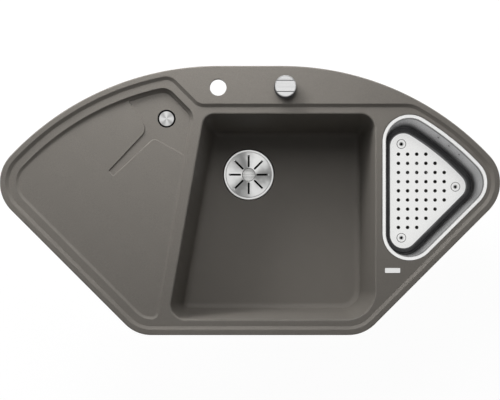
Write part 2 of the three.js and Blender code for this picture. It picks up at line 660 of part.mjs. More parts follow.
overflowPart('overflow_cap', turned([[0, SPOUT - 0.3], [9, SPOUT + 0.1], [14.8, SPOUT + 0.7],
  [16, SPOUT + 0.2], [16, SPOUT - 1], [6.9, SPOUT - 1.6], [6.9, -19], [5.6, -19],
  [5.6, SPOUT - 1.8], [0, SPOUT - 1.8]].reverse(), 20), 'steel');

function overflowSeat() {
  const wall = solid(tube(17.4, 18.7, -24, SPOUT + 0.2, 20));
  const spokes = [0, 1].map((i) =>
    solid(block(-18, 18, -1.5, 1.5, -24, -19.4).rotateZ((Math.PI * i) / 2)));
  const hub = solid(rod(5.3, -24, -14.5, 12));
  return cut(join(wall, ...spokes, hub), solid(rod(2.5, -30, -10, 8)));
}
overflowPart('overflow_seat', geometryOf(overflowSeat()), 'blackPlastic');
overflowPart('overflow_screw', turned([[0, -35], [2.1, -35], [2.1, -14.2], [4.2, -14.2],
  [4.2, -12.6], [0, -12.6]], 10), 'zinc');
overflowPart('overflow_seal', tube(19.6, 28, -23.8, -22.3, 14), 'rubber');

function overflowElbow() {
  const bore = HOSE.bore - 0.6;
  const shell = solid(turned([[bore, -70], [HOSE.root, -70], [HOSE.root, -50], [23, -42],
    [23, -27], [28, -26.5], [28, -24.1], [20, -24.1], [20, -40.5], [bore, -48], [bore, -70]], 12));
  const ribs = [0, 1].map((i) =>
    solid(block(-21, 21, -1.2, 1.2, -39, -30).rotateZ(Math.PI / 4 + (Math.PI * i) / 2)));
  const post = solid(rod(5, -39, -24.4, 12));
  return cut(join(shell, ...ribs, post), solid(rod(2.5, -45, -20, 8)));
}
overflowPart('overflow_elbow', geometryOf(overflowElbow()), 'blackPlastic');

// The hose drops, bends once through a quarter circle and runs in to the waste's inlet.
function hoseRoute() {
  const reach = Math.hypot(OVERFLOW.x - WASTE.x, OVERFLOW.y - WASTE.y);
  const level = BOWL_FLOOR + INLET_DROP;
  const towards = new THREE.Vector3(Math.cos(INLET_ANGLE), Math.sin(INLET_ANGLE), 0);
  const at = (out, z) => new THREE.Vector3(WASTE.x, WASTE.y, z).addScaledVector(towards, out);
  const start = -70.3;
  const drop = start - (level + HOSE.bend);
  const quarter = (Math.PI / 2) * HOSE.bend;
  const run = reach - HOSE.bend - INLET_REACH - GAP;
  const length = drop + quarter + run;
  const place = (s) => {
    if (s < drop) return [at(reach, start - s), new THREE.Vector3(0, 0, -1)];
    const turn = Math.min((s - drop) / HOSE.bend, Math.PI / 2);
    const rest = Math.max(s - drop - quarter, 0);
    const point = at(reach - HOSE.bend * (1 - Math.cos(turn)) - rest,
      level + HOSE.bend * (1 - Math.sin(turn)));
    return [point, towards.clone().multiplyScalar(-Math.sin(turn)).setZ(-Math.cos(turn))];
  };
  const side = new THREE.Vector3(-towards.y, towards.x, 0);
  return { length, place, side };
}

// The points of a circle about a centre, square to the forward direction.
function ringAt(centre, forward, side, radius, sides) {
  const up = new THREE.Vector3().crossVectors(forward, side);
  return Array.from({ length: sides }, (_, i) => {
    const t = (2 * Math.PI * i) / sides;
    return centre.clone().addScaledVector(side, radius * Math.cos(t))
      .addScaledVector(up, radius * Math.sin(t));
  });
}

function ribbedHose() {
  const sides = 8;
  const plain = 2 * HOSE.crest;
  const { length, place, side } = hoseRoute();
  const ribs = Math.floor((length - 2 * plain) / HOSE.rib);
  const ribStart = (i) => plain + ((length - 2 * plain) * i) / ribs;
  const stations = [[0, HOSE.root]];
  for (let i = 0; i < ribs; i += 1) {
    stations.push([ribStart(i), HOSE.root], [ribStart(i) + HOSE.rib / 2, HOSE.crest]);
  }
  stations.push([length - plain, HOSE.root], [length, HOSE.root], [length, HOSE.bore]);
  for (let i = ribs; i >= 0; i -= 5) stations.push([ribStart(i), HOSE.bore]);
  stations.push([0, HOSE.bore]);
  return tubeFromRings(stations.map(([s, radius]) => {
    const [centre, forward] = place(s);
    return ringAt(centre, forward, side, radius, sides);
  }));
}
addPart('overflow_hose', ribbedHose(), 'greyPlastic');

const hoseNut = () => lobedNut(HOSE.root + 0.4, 15.5, -8, 8, 8);
overflowPart('hose_nut_top', hoseNut().translate(0, 0, -70), 'blackPlastic');
wastePart('hose_nut_bottom', hoseNut().rotateY(Math.PI / 2).translate(INLET_REACH, 0, INLET_DROP)
  .rotateZ(INLET_ANGLE), 'blackPlastic');

// ---------------------------------------------------------------- waste of the small bowl

const smallPart = (name, geometry, look) =>
  addPart(name, shifted(closed(geometry), SMALL_WASTE, SMALL_FLOOR), look);
const TAIL_END = PIPE.level - SMALL_FLOOR + 43;      // lower end of the small waste's tail

function smallGrille() {
  const disc = solid(turned([[0, -3.2], [20, -3], [33, 0.4], [35, -0.2], [35, -1.2], [25.5, -1.6],
    [24.5, -8], [21, -4.6], [0, -4.8]].reverse(), 14));
  const holes = Array.from({ length: 8 }, (_, i) => {
    const t = (2 * Math.PI * i) / 8;
    return solid(rod(3.2, -10, 2, 6).translate(14 * Math.cos(t), 14 * Math.sin(t), 0));
  });
  return cut(disc, ...holes, solid(rod(3.4, -10, 2, 10)));
}
smallPart('small_waste_grille', geometryOf(smallGrille()), 'steel');
smallPart('small_waste_screw', turned([[0, -40], [3, -40], [3, -2.9], [6.2, -2.9], [5.4, -1.5],
  [0, -1]], 12), 'steel');
smallPart('small_waste_seal', tube(26.6, 34, -SHELL - 2, -SHELL - GAP, 14), 'rubber');

function smallWasteBody() {
  const top = -SHELL - 2.3;
  const shell = solid(turned([[PIPE.bore, TAIL_END], [PIPE.outer, TAIL_END], [PIPE.outer, -46],
    [29, -36], [29, top - 4], [34, top - 3.5], [34, top], [26, top], [26, -35], [PIPE.bore, -44],
    [PIPE.bore, TAIL_END]], 12));
  const ribs = [0, 1].map((i) =>
    solid(block(-27, 27, -1.3, 1.3, -34, -24).rotateZ((Math.PI * i) / 2)));
  return cut(join(shell, ...ribs, solid(rod(6, -42, -14, 12))), solid(rod(3.3, -50, -10, 10)));
}
smallPart('small_waste_body', geometryOf(smallWasteBody()), 'greyPlastic');

// ---------------------------------------------------------------- pipework between the wastes

const pipeAlongX = (from, to) =>
  tube(PIPE.bore, PIPE.outer + 2, from, to, 16).rotateY(Math.PI / 2)
    .translate(0, WASTE.y, PIPE.level);
const nutAlongX = (middle) =>
  lobedNut(PIPE.outer + 2.4, 29, -9, 9).rotateY(Math.PI / 2).translate(middle, WASTE.y, PIPE.level);

const SPIGOT_END = WASTE.x + SPIGOT_REACH;
const TEE_HALF = 42;
const ELBOW_END = SMALL_WASTE.x - 46;
const mainBranch = pipeAlongX(SPIGOT_END + GAP, TEE_X - TEE_HALF - GAP);
const smallBranch = pipeAlongX(TEE_X + TEE_HALF + GAP, ELBOW_END - GAP);
addPart('main_branch_pipe', closed(mainBranch), 'greyPlastic');
addPart('small_branch_pipe', closed(smallBranch), 'greyPlastic');

function outletTee() {
  const centre = { x: TEE_X, y: WASTE.y };
  const down = (radius, low) => shifted(rod(radius, low, PIPE.level, 16), centre);
  const across = (radius, half) =>
    rod(radius, -half, half, 16).rotateY(Math.PI / 2).translate(TEE_X, WASTE.y, PIPE.level);
  const body = join(solid(across(PIPE.outer + 2, TEE_HALF)), solid(down(PIPE.outer + 2, PIPE.level - 58)),
    solid(down(PIPE.outer + 5, PIPE.level - 36)));
  return cut(body, solid(across(PIPE.bore, TEE_HALF + 5)), solid(down(PIPE.bore, PIPE.level - 62)));
}
addPart('outlet_tee', geometryOf(outletTee()), 'greyPlastic');

const BEND = 26;
function elbowRoute() {
  const { x, y } = SMALL_WASTE;
  const steps = 6;
  const bend = Array.from({ length: steps + 1 }, (_, k) => {
    const t = ((Math.PI / 2) * k) / steps;
    return new THREE.Vector3(x - BEND * (1 - Math.cos(t)), y, PIPE.level + BEND * (1 - Math.sin(t)));
  });
  const top = new THREE.Vector3(x, y, SMALL_FLOOR + TAIL_END - GAP);
  return [top, ...bend, new THREE.Vector3(ELBOW_END, y, PIPE.level)];
}

// A bent pipe as rings square to its run, outside and then back along the bore.
function bentPipe(points, outer, bore, sides) {
  const ringsOf = (radius) => points.map((point, i) => {
    const before = points[Math.max(i - 1, 0)];
    const after = points[Math.min(i + 1, points.length - 1)];
    const forward = after.clone().sub(before).normalize();
    return ringAt(point, forward, new THREE.Vector3(0, 1, 0), radius, sides);
  });
  return tubeFromRings([...ringsOf(outer), ...ringsOf(bore).reverse()]);
}

addPart('small_elbow', bentPipe(elbowRoute(), PIPE.outer, PIPE.bore, 12), 'greyPlastic');

addPart('union_nut_main', closed(nutAlongX(SPIGOT_END)), 'blackPlastic');
addPart('union_nut_tee_left', closed(nutAlongX(TEE_X - TEE_HALF)), 'blackPlastic');
addPart('union_nut_tee_right', closed(nutAlongX(TEE_X + TEE_HALF)), 'blackPlastic');
addPart('union_nut_elbow_side', closed(nutAlongX(ELBOW_END)), 'blackPlastic');
const elbowNut = lobedNut(PIPE.outer + GAP, 27, TAIL_END - 8, TAIL_END + 8);
smallPart('union_nut_elbow_top', elbowNut, 'blackPlastic');

// ---------------------------------------------------------------- rim clamps

const CLAMP_SCREW = { radius: 2.9, top: -11, head: -76 };
const CLAW = { low: -60, high: -50, reach: 34, tip: -41 };

function claw() {
  const hub = solid(rod(7.5, CLAW.low, CLAW.high, 8));
  const arm = solid(block(0, CLAW.reach, -6, 6, CLAW.low, CLAW.high - 3));
  const tip = solid(block(CLAW.reach - 7, CLAW.reach, -6, 6, CLAW.low, CLAW.tip));
  const bore = rod(clear(CLAMP_SCREW.radius + GAP, 6), CLAW.low - 4, CLAW.high + 4, 6);
  return cut(join(hub, arm, tip), solid(bore));
}

// At rest each claw lies along the rim's edge, a quarter turn from gripping.
for (const clamp of CLAMPS) {
  const { radius, top, head } = CLAMP_SCREW;
  const screw = [[0, head], [4, head], [5.5, head + 1], [5.5, head + 5], [radius, head + 5],
    [radius, top], [0, top]];
  addPart(`clamp_screw_${clamp.name}`, shifted(closed(turned(screw, 8)), clamp), 'zinc');
  const mesh = addPart(`clamp_claw_${clamp.name}`, geometryOf(claw()), 'blackPlastic');
  mesh.position.set(clamp.x, clamp.y, 0);
  mesh.rotation.z = THREE.MathUtils.degToRad(clamp.grip + clamp.fold);
}

export default sink;
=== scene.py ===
import json
import logging
import math
from dataclasses import dataclass
from enum import Enum
from functools import partial
from typing import Callable, Iterable, Sequence, Union

import bmesh
import bpy
from mathutils import Matrix, Vector


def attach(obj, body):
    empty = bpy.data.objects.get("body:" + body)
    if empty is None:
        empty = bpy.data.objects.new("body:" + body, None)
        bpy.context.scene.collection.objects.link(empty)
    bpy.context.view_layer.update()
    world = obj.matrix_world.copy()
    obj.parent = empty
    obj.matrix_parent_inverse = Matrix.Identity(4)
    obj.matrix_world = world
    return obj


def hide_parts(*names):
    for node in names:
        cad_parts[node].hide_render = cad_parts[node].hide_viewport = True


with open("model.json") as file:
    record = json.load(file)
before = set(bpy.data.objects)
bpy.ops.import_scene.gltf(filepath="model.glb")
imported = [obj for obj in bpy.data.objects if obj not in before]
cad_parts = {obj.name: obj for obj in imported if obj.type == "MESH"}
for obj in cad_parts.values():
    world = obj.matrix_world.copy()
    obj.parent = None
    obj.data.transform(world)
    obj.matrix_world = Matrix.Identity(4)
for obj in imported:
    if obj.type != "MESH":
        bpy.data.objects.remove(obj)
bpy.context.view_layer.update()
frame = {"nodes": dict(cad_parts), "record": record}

LOG = logging.getLogger("sink")
MM = 0.001
SLIVER = 0.001

Socket = bpy.types.NodeSocket
Spot = tuple[float, float]
Height = Union[float, Callable[[float, float], float]]
Level = tuple[float, Height]
Profile = Sequence[Spot]


# ---- outlines with offsets


@dataclass(frozen=True)
class Straight:
    """A straight edge of a region, through (x, y), with its inward direction (nx, ny)."""

    x: float
    y: float
    nx: float
    ny: float
    steps: int = 1

    def measure(self, px: float, py: float) -> tuple[float, float, float]:
        """The distance inwards of a point, and the direction of that distance."""
        return (px - self.x) * self.nx + (py - self.y) * self.ny, self.nx, self.ny


@dataclass(frozen=True)
class Bow:
    """A bowed edge about (cx, cy), that passes near (x, y), cut into a number of steps."""

    cx: float
    cy: float
    radius: float
    x: float
    y: float
    steps: int

    def measure(self, px: float, py: float) -> tuple[float, float, float]:
        """The distance inwards of a point, and the direction of that distance."""
        reach = math.hypot(self.cx - px, self.cy - py)
        return self.radius - reach, (self.cx - px) / reach, (self.cy - py) / reach


Edge = Union[Straight, Bow]


def wrapped(angle: float) -> float:
    """The same angle between -pi and pi."""
    return math.atan2(math.sin(angle), math.cos(angle))


@dataclass(frozen=True)
class Region:
    """A ring of edges, anticlockwise, with its corners rounded.

    corners[i] rounds the corner between edge i and the next one: a radius, negative where the
    corner points inwards, or the point where the two edges touch.
    """

    edges: tuple[Edge, ...]
    corners: tuple[Union[float, Spot], ...]
    fine: int = 14

    def _crossing(self, one: Edge, two: Edge) -> Spot:
        """The point where the tangents of two edges cross.

        Args:
            one: The first edge.
            two: The other edge.

        Returns:
            The point.
        """
        _, a, b = one.measure(one.x, one.y)
        _, c, d = two.measure(two.x, two.y)
        e1, e2 = a * one.x + b * one.y, c * two.x + d * two.y
        det = a * d - b * c
        return (e1 * d - b * e2) / det, (a * e2 - c * e1) / det

    def _meeting(self, one: Edge, two: Edge, distance: float) -> Spot:
        """The point that lies the same distance inside two edges.

        Args:
            one: The first edge.
            two: The edge that follows it.
            distance: How far inside both of them the point lies.

        Returns:
            The point, found by Newton's steps.
        """
        x, y = self._crossing(one, two)
        for _ in range(14):
            d1, a, b = one.measure(x, y)
            d2, c, d = two.measure(x, y)
            det = a * d - b * c
            e1, e2 = distance - d1, distance - d2
            x += (e1 * d - b * e2) / det
            y += (a * e2 - c * e1) / det
        return x, y

    def _round(self, i: int, inset: float) -> list[Spot]:
        """The points of the corner after edge i, at an inset.

        Args:
            i: The number of the edge before the corner.
            inset: The distance inwards from the edges.

        Returns:
            The points, from this edge to the next.
        """
        one, two = self.edges[i], self.edges[(i + 1) % len(self.edges)]
        corner = self.corners[i]
        if isinstance(corner, tuple):
            _, nx, ny = one.measure(*corner)
            return [(corner[0] + nx * inset, corner[1] + ny * inset)]
        radius = max(corner - inset, 0.6) if corner > 0 else min(corner - inset, -0.6)
        cx, cy = self._meeting(one, two, inset + radius)
        _, ax, ay = one.measure(cx, cy)
        _, bx, by = two.measure(cx, cy)
        start = math.atan2(-ay * radius, -ax * radius)
        sweep = wrapped(math.atan2(-by * radius, -bx * radius) - start)
        turns = [start + sweep * k / self.fine for k in range(self.fine + 1)]
        size = abs(radius)
        return [(cx + size * math.cos(t), cy + size * math.sin(t)) for t in turns]

    def loop(self, inset: float) -> list[Spot]:
        """The region's outline at an inset, with as many points at every inset.

        Args:
            inset: The distance inwards from the edges, negative to go outwards.

        Returns:
            The points, anticlockwise.
        """
        rounds = [self._round(i, inset) for i in range(len(self.edges))]
        points: list[Spot] = []
        for i, edge in enumerate(self.edges):
            if isinstance(edge, Bow):
                (x0, y0), (x1, y1) = rounds[i - 1][-1], rounds[i][0]
                start = math.atan2(y0 - edge.cy, x0 - edge.cx)
                sweep = wrapped(math.atan2(y1 - edge.cy, x1 - edge.cx) - start)
                reach = edge.radius - inset
                for k in range(1, edge.steps):
                    t = start + sweep * k / edge.steps
                    points.append((edge.cx + reach * math.cos(t), edge.cy + reach * math.sin(t)))
            points.extend(rounds[i])
        return points


def rounding(inset: float, z: float, radius: float, start: float, end: float,
             steps: int) -> list[tuple[float, float]]:
    """Part of a circle as (inset, height) pairs.

    Args:
        inset: The inset of its centre.
        z: The height of its centre.
        radius: Its radius.
        start: The first angle, in degrees.
        end: The last angle, in degrees.
        steps: How many pieces it is cut into.

    Returns:
        The pairs, one more than the steps.
    """
    turns = [math.radians(start + (end - start) * k / steps) for k in range(steps + 1)]
    return [(inset + radius * math.cos(t), z + radius * math.sin(t)) for t in turns]


def eased(pairs: Sequence[Spot], steps: int) -> list[Spot]:
    """The same run of pairs with a smooth curve led through them.

    Args:
        pairs: The pairs that the curve passes through.
        steps: How many pieces each stretch is cut into.

    Returns:
        The pairs of the finer run.
    """
    ends = [pairs[0], *pairs, pairs[-1]]
    run: list[Spot] = []
    for p0, p1, p2, p3 in zip(ends, ends[1:], ends[2:], ends[3:]):
        for k in range(steps):
            t = k / steps
            run.append(tuple(
                0.5 * (2 * b + (c - a) * t + (2 * a - 5 * b + 4 * c - d) * t * t
                       + (3 * b - a - 3 * c + d) * t ** 3)
                for a, b, c, d in zip(p0, p1, p2, p3)))
    return [*run, pairs[-1]]


def softened(profile: Profile, size: float, steps: int = 3) -> list[Spot]:
    """The same profile with its corners rounded.

    Args:
        profile: Pairs of a radius and a height, closed on itself or ended on the axis.
        size: How far from a corner its rounding starts.
        steps: How many pieces each rounding is cut into.

    Returns:
        The pairs of the rounded profile.
    """
    closed = profile[0] == profile[-1]
    corners = [Vector(pair) for pair in (profile[:-1] if closed else profile)]
    run: list[Spot] = [] if closed else [tuple(corners[0])]
    inner = range(len(corners)) if closed else range(1, len(corners) - 1)
    for i in inner:
        here = corners[i]
        back, on = corners[i - 1] - here, corners[(i + 1) % len(corners)] - here
        reach = min(size, back.length * 0.45, on.length * 0.45)
        start, end = here + back.normalized() * reach, here + on.normalized() * reach
        for k in range(steps + 1):
            t = k / steps
            run.append(tuple(start * (1 - t) ** 2 + here * (2 * t * (1 - t)) + end * t ** 2))
    return [*run, run[0] if closed else tuple(corners[-1])]


def thread(radius: float, start: float, end: float, pitch: float, depth: float) -> list[Spot]:
    """The turns of a thread as rings side by side.

    Args:
        radius: The radius of the crests.
        start: The height of the first crest.
        end: The height of the last one.
        pitch: About how far apart the crests stand.
        depth: How much lower the roots lie.

    Returns:
        Pairs of a radius and a height.
    """
    count = max(round(abs(end - start) / pitch), 1)
    step = (end - start) / count
    return [(radius - sunk, start + (k + part) * step) for k in range(count)
            for part, sunk in ((0.06, 0.0), (0.42, depth), (0.58, depth), (0.94, 0.0))]


def curved(points: Sequence[Sequence[float]], steps: int) -> list[Vector]:
    """A smooth run in space through the given points.

    Args:
        points: The points.
        steps: How many pieces each stretch is cut into.

    Returns:
        The points of the finer run.
    """
    spots = [Vector(point) for point in points]
    ends = [2 * spots[0] - spots[1], *spots, 2 * spots[-1] - spots[-2]]
    run: list[Vector] = []
    for a, b, c, d in zip(ends, ends[1:], ends[2:], ends[3:]):
        before, here, after = ((one - two).length ** 0.5 for one, two in ((b, a), (c, b), (d, c)))
        leave = ((b - a) / before - (c - a) / (before + here) + (c - b) / here) * here
        arrive = ((c - b) / here - (d - b) / (here + after) + (d - c) / after) * here
        for k in range(steps):
            t = k / steps
            run.append(b + leave * t + (3 * (c - b) - 2 * leave - arrive) * t ** 2
                       + (2 * (b - c) + leave + arrive) * t ** 3)
    return [*run, spots[-1]]


# ---- solids


class Axis(Enum):
    """The axis along which a turned solid is laid."""

    X = Matrix.Rotation(math.pi / 2, 4, "Y")
    Z = Matrix.Identity(4)


class Joining(Enum):
    """How solids are put together."""

    ADD = "UNION"
    CUT = "DIFFERENCE"


class Solid:
    """A closed mesh in millimetres, that can be moved, joined and cut."""

    def __init__(self, points: Iterable[Sequence[float]], faces: Iterable[Sequence[int]]) -> None:
        """Makes the mesh and points its faces outwards.

        Args:
            points: The corners, in millimetres.
            faces: The faces, as numbers of corners.
        """
        self.mesh = bpy.data.meshes.new("solid")
        self.mesh.from_pydata([tuple(p) for p in points], [], [tuple(f) for f in faces])
        shape = bmesh.new()
        shape.from_mesh(self.mesh)
        bmesh.ops.remove_doubles(shape, verts=shape.verts, dist=1e-5)
        bmesh.ops.dissolve_degenerate(shape, dist=1e-6, edges=shape.edges)
        bmesh.ops.recalc_face_normals(shape, faces=shape.faces)
        shape.to_mesh(self.mesh)
        shape.free()

    @classmethod
    def lofted(cls, region: Region, levels: Sequence[Level]) -> "Solid":
        """A solid through a region's outlines at rising heights.

        Args:
            region: The region.
            levels: Pairs of an inset and a height, which may be a function of x and y.

        Returns:
            The solid, capped at both ends.
        """
        points: list[tuple[float, float, float]] = []
        for inset, height in levels:
            rise = height if callable(height) else (lambda x, y, z=height: z)
            points += [(x, y, rise(x, y)) for x, y in region.loop(inset)]
        return cls.stacked(points, len(points) // len(levels))

    @classmethod
    def stacked(cls, points: Sequence[Sequence[float]], size: int,
                ring: bool = False) -> "Solid":
        """A solid through rings of as many points each.

        Args:
            points: The points of one ring after the other.
            size: How many points a ring has.
            ring: True if the last ring joins the first, as in a hollow tube.

        Returns:
            The solid, capped at both ends unless the last ring joins the first.
        """
        count = len(points) // size
        faces: list[Sequence[int]] = [] if ring else [list(range(size))[::-1]]
        for i in range(count if ring else count - 1):
            low, high = i * size, (i + 1) % count * size
            faces += [(low + j, low + (j + 1) % size, high + (j + 1) % size, high + j)
                      for j in range(size)]
        if not ring:
            faces.append(list(range(len(points) - size, len(points))))
        return cls(points, faces)

    @classmethod
    def turned(cls, profile: Profile, sides: int = 64) -> "Solid":
        """A solid turned about the Z axis.

        Args:
            profile: Pairs of a radius and a height, closed on itself or ended on the axis.
            sides: How many flats go round it.

        Returns:
            The solid.
        """
        closed = profile[0] == profile[-1]
        pairs = list(profile[:-1] if closed else profile)
        points: list[tuple[float, float, float]] = []
        rings: list[list[int]] = []
        for r, z in pairs:
            if r < 1e-9:
                rings.append([len(points)])
                points.append((0.0, 0.0, z))
                continue
            rings.append(list(range(len(points), len(points) + sides)))
            for k in range(sides):
                t = 2 * math.pi * k / sides
                points.append((r * math.cos(t), r * math.sin(t), z))
        faces: list[Sequence[int]] = []
        for i in range(len(rings) if closed else len(rings) - 1):
            a, b = rings[i], rings[(i + 1) % len(rings)]
            for k in range(sides):
                n = (k + 1) % sides
                quad = [a[k % len(a)], a[n % len(a)], b[n % len(b)], b[k % len(b)]]
                face = list(dict.fromkeys(quad))
                if len(face) > 2:
                    faces.append(face)
        return cls(points, faces)

    @classmethod
    def block(cls, low: Sequence[float], high: Sequence[float]) -> "Solid":
        """A box between two corners.

        Args:
            low: The corner with the lowest x, y and z.
            high: The corner across from it.

        Returns:
            The solid.
        """
        points = [(x, y, z) for x in (low[0], high[0]) for y in (low[1], high[1])
                  for z in (low[2], high[2])]
        return cls(points, [(0, 1, 3, 2), (4, 6, 7, 5), (0, 4, 5, 1), (2, 3, 7, 6), (0, 2, 6, 4),
                            (1, 5, 7, 3)])

    @classmethod
    def spokes(cls, low: Sequence[float], high: Sequence[float], turns: Iterable[float]
               ) -> list["Solid"]:
        """Equal boxes between two corners, each turned about Z by degrees."""
        return [cls.block(low, high).moved(turn=turn) for turn in turns]

    @classmethod
    def rod(cls, radius: float, low: float, high: float, sides: int = 48) -> "Solid":
        """An upright round bar."""
        return cls.turned([(0, low), (radius, low), (radius, high), (0, high)], sides)

    @classmethod
    def washer(cls, inner: float, outer: float, low: float, high: float, soft: float = 0.7,
               sides: int = 96) -> "Solid":
        """A flat ring with rounded edges.

        Args:
            inner: The radius of its hole.
            outer: Its radius.
            low: The height of its foot.
            high: The height of its top.
            soft: How far from an edge its rounding starts.
            sides: How many flats go round it.

        Returns:
            The solid.
        """
        return cls.turned(softened([(inner, low), (outer, low), (outer, high), (inner, high),
                                    (inner, low)], soft), sides)

    @classmethod
    def prism(cls, radius_at: Callable[[float], float], count: int, low: float, high: float,
              bevel: float = 0.0) -> "Solid":
        """An upright bar whose radius depends on the angle.

        Args:
            radius_at: The radius as a function of the angle.
            count: How many points go round it.
            low: The height of its foot.
            high: The height of its head.
            bevel: The size of the bevel round both ends.

        Returns:
            The solid.
        """
        turns = [2 * math.pi * k / count for k in range(count)]
        heights = [(bevel, low), (0.0, low + bevel), (0.0, high - bevel), (bevel, high)]
        levels = heights if bevel else [(0.0, low), (0.0, high)]
        points = [((radius_at(t) - b) * math.cos(t), (radius_at(t) - b) * math.sin(t), z)
                  for b, z in levels for t in turns]
        return cls.stacked(points, count)

    @classmethod
    def swept(cls, stations: Sequence[tuple[Vector, Vector, Vector, float]],
              sides: int, ring: bool = False) -> "Solid":
        """A round bar or a hollow tube led through circles.

        Args:
            stations: A centre, two directions across, and a radius, for each circle.
            sides: How many points go round it.
            ring: True if the last circle joins the first, as in a hollow tube.

        Returns:
            The solid.
        """
        points = [centre + radius * (across * math.cos(t) + up * math.sin(t))
                  for centre, across, up, radius in stations
                  for t in [2 * math.pi * k / sides for k in range(sides)]]
        return cls.stacked(points, sides, ring)

    @classmethod
    def led(cls, spots: Sequence[Vector], radii: Sequence[float], sides: int,
            bore: float = 0.0) -> "Solid":
        """A round bar or pipe led along a run of points.

        Args:
            spots: The points.
            radii: Its radius at each of them.
            sides: How many points go round it.
            bore: The radius of a pipe's bore, or nothing for a bar.

        Returns:
            The solid.
        """
        ways = [(on - back).normalized()
                for back, on in zip([spots[0], *spots[:-1]], [*spots[1:], spots[-1]])]
        across = ways[0].orthogonal().normalized()
        stations = []
        for k, (spot, way, radius) in enumerate(zip(spots, ways, radii)):
            across = ways[max(k - 1, 0)].rotation_difference(way) @ across
            stations.append((spot, across, way.cross(across), radius))
        if bore:
            stations += [(*station[:3], bore) for station in reversed(stations)]
        return cls.swept(stations, sides, bool(bore))

    @classmethod
    def fluted(cls, bore: float, radius: float, low: float, high: float,
               lobes: int = 8) -> "Solid":
        """A nut to turn by hand: broad lobes round it, a smooth collar and a chamfered bore.

        Args:
            bore: The radius of its bore.
            radius: The radius over the lobes.
            low: The height of its foot.
            high: The height of its head, where the collar is.
            lobes: How many lobes go round it.

        Returns:
            The solid.
        """
        def flank(t: float) -> float:
            """The nut's radius at an angle: broad lobes with narrow dips between them."""
            return radius - 1 + max(-1.0, min(1.0, 2.4 * math.cos(lobes * t) + 0.5))

        grips = cls.prism(flank, lobes * 16, low, high - 2.2, 0.8)
        collar = cls.turned(softened([(0, high - 4), (radius - 2.6, high - 4), (radius - 2.6, high),
                                      (0, high)], 0.7), 96)
        hole = cls.turned([(0, low - 1), (bore + 1, low - 1), (bore + 1, low), (bore, low + 1),
                           (bore, high - 1), (bore + 1, high), (bore + 1, high + 1), (0, high + 1)],
                          64)
        return grips.add(collar).cut(hole)

    def moved(self, x: float = 0.0, y: float = 0.0, z: float = 0.0, turn: float = 0.0,
              axis: Axis = Axis.Z) -> "Solid":
        """This solid laid along an axis, turned about Z by degrees, then shifted.

        Args:
            x: The shift along X.
            y: The shift along Y.
            z: The shift along Z.
            turn: The turn about Z, in degrees.
            axis: Where its own Z axis is laid first.

        Returns:
            This solid.
        """
        spin = Matrix.Rotation(math.radians(turn), 4, "Z")
        self.mesh.transform(Matrix.Translation((x, y, z)) @ spin @ axis.value)
        return self

    def put(self, how: Joining, *others: "Solid") -> "Solid":
        """This solid joined with others, or cut by them.

        Args:
            how: Whether the others are added or cut away.
            *others: The other solids, which are used up.

        Returns:
            This solid with its new mesh.
        """
        scene = bpy.context.scene.collection
        base = bpy.data.objects.new("base", self.mesh)
        helpers = [bpy.data.objects.new("tool", other.mesh) for other in others]
        for obj in (base, *helpers):
            scene.objects.link(obj)
        for helper in helpers:
            step = base.modifiers.new("put", "BOOLEAN")
            step.operation, step.solver, step.object = how.value, "MANIFOLD", helper
        bpy.context.view_layer.update()
        graph = bpy.context.evaluated_depsgraph_get()
        result = bpy.data.meshes.new_from_object(base.evaluated_get(graph))
        old = [self.mesh, *(other.mesh for other in others)]
        for obj in (base, *helpers):
            bpy.data.objects.remove(obj)
        for mesh in old:
            bpy.data.meshes.remove(mesh)
        self.mesh = result
        return self

    def add(self, *others: "Solid") -> "Solid":
        """This solid joined with others."""
        return self.put(Joining.ADD, *others)

    def cut(self, *others: "Solid") -> "Solid":
        """This solid with others cut away."""
        return self.put(Joining.CUT, *others)

    def cleaned(self) -> "Solid":
        """This solid without the slivers that a boolean leaves.

        Returns:
            This solid.
        """
        shape = bmesh.new()
        shape.from_mesh(self.mesh)
        bmesh.ops.dissolve_degenerate(shape, dist=SLIVER, edges=shape.edges)
        shape.to_mesh(self.mesh)
        shape.free()
        return self

    def gathered(self, *others: "Solid") -> "Solid":
        """This solid and others that don't touch it, held in one mesh without a boolean.

        Args:
            *others: The other solids, which are used up.

        Returns:
            This solid.
        """
        shape = bmesh.new()
        for solid in (self, *others):
            shape.from_mesh(solid.mesh)
        shape.to_mesh(self.mesh)
        shape.free()
        for solid in others:
            bpy.data.meshes.remove(solid.mesh)
        return self


# ---- finishes


class Slot(Enum):
    """The record's material slots."""

    COMPOSITE = "composite"
    STEEL = "brushed_steel"
    CHROME = "chrome"
    DARK_METAL = "dark_metal"
    ZINC = "zinc"
    BLACK = "black_plastic"
    GREY = "grey_plastic"
    WHITE = "white_plastic"
    RUBBER = "rubber"


Colour = tuple[float, float, float]


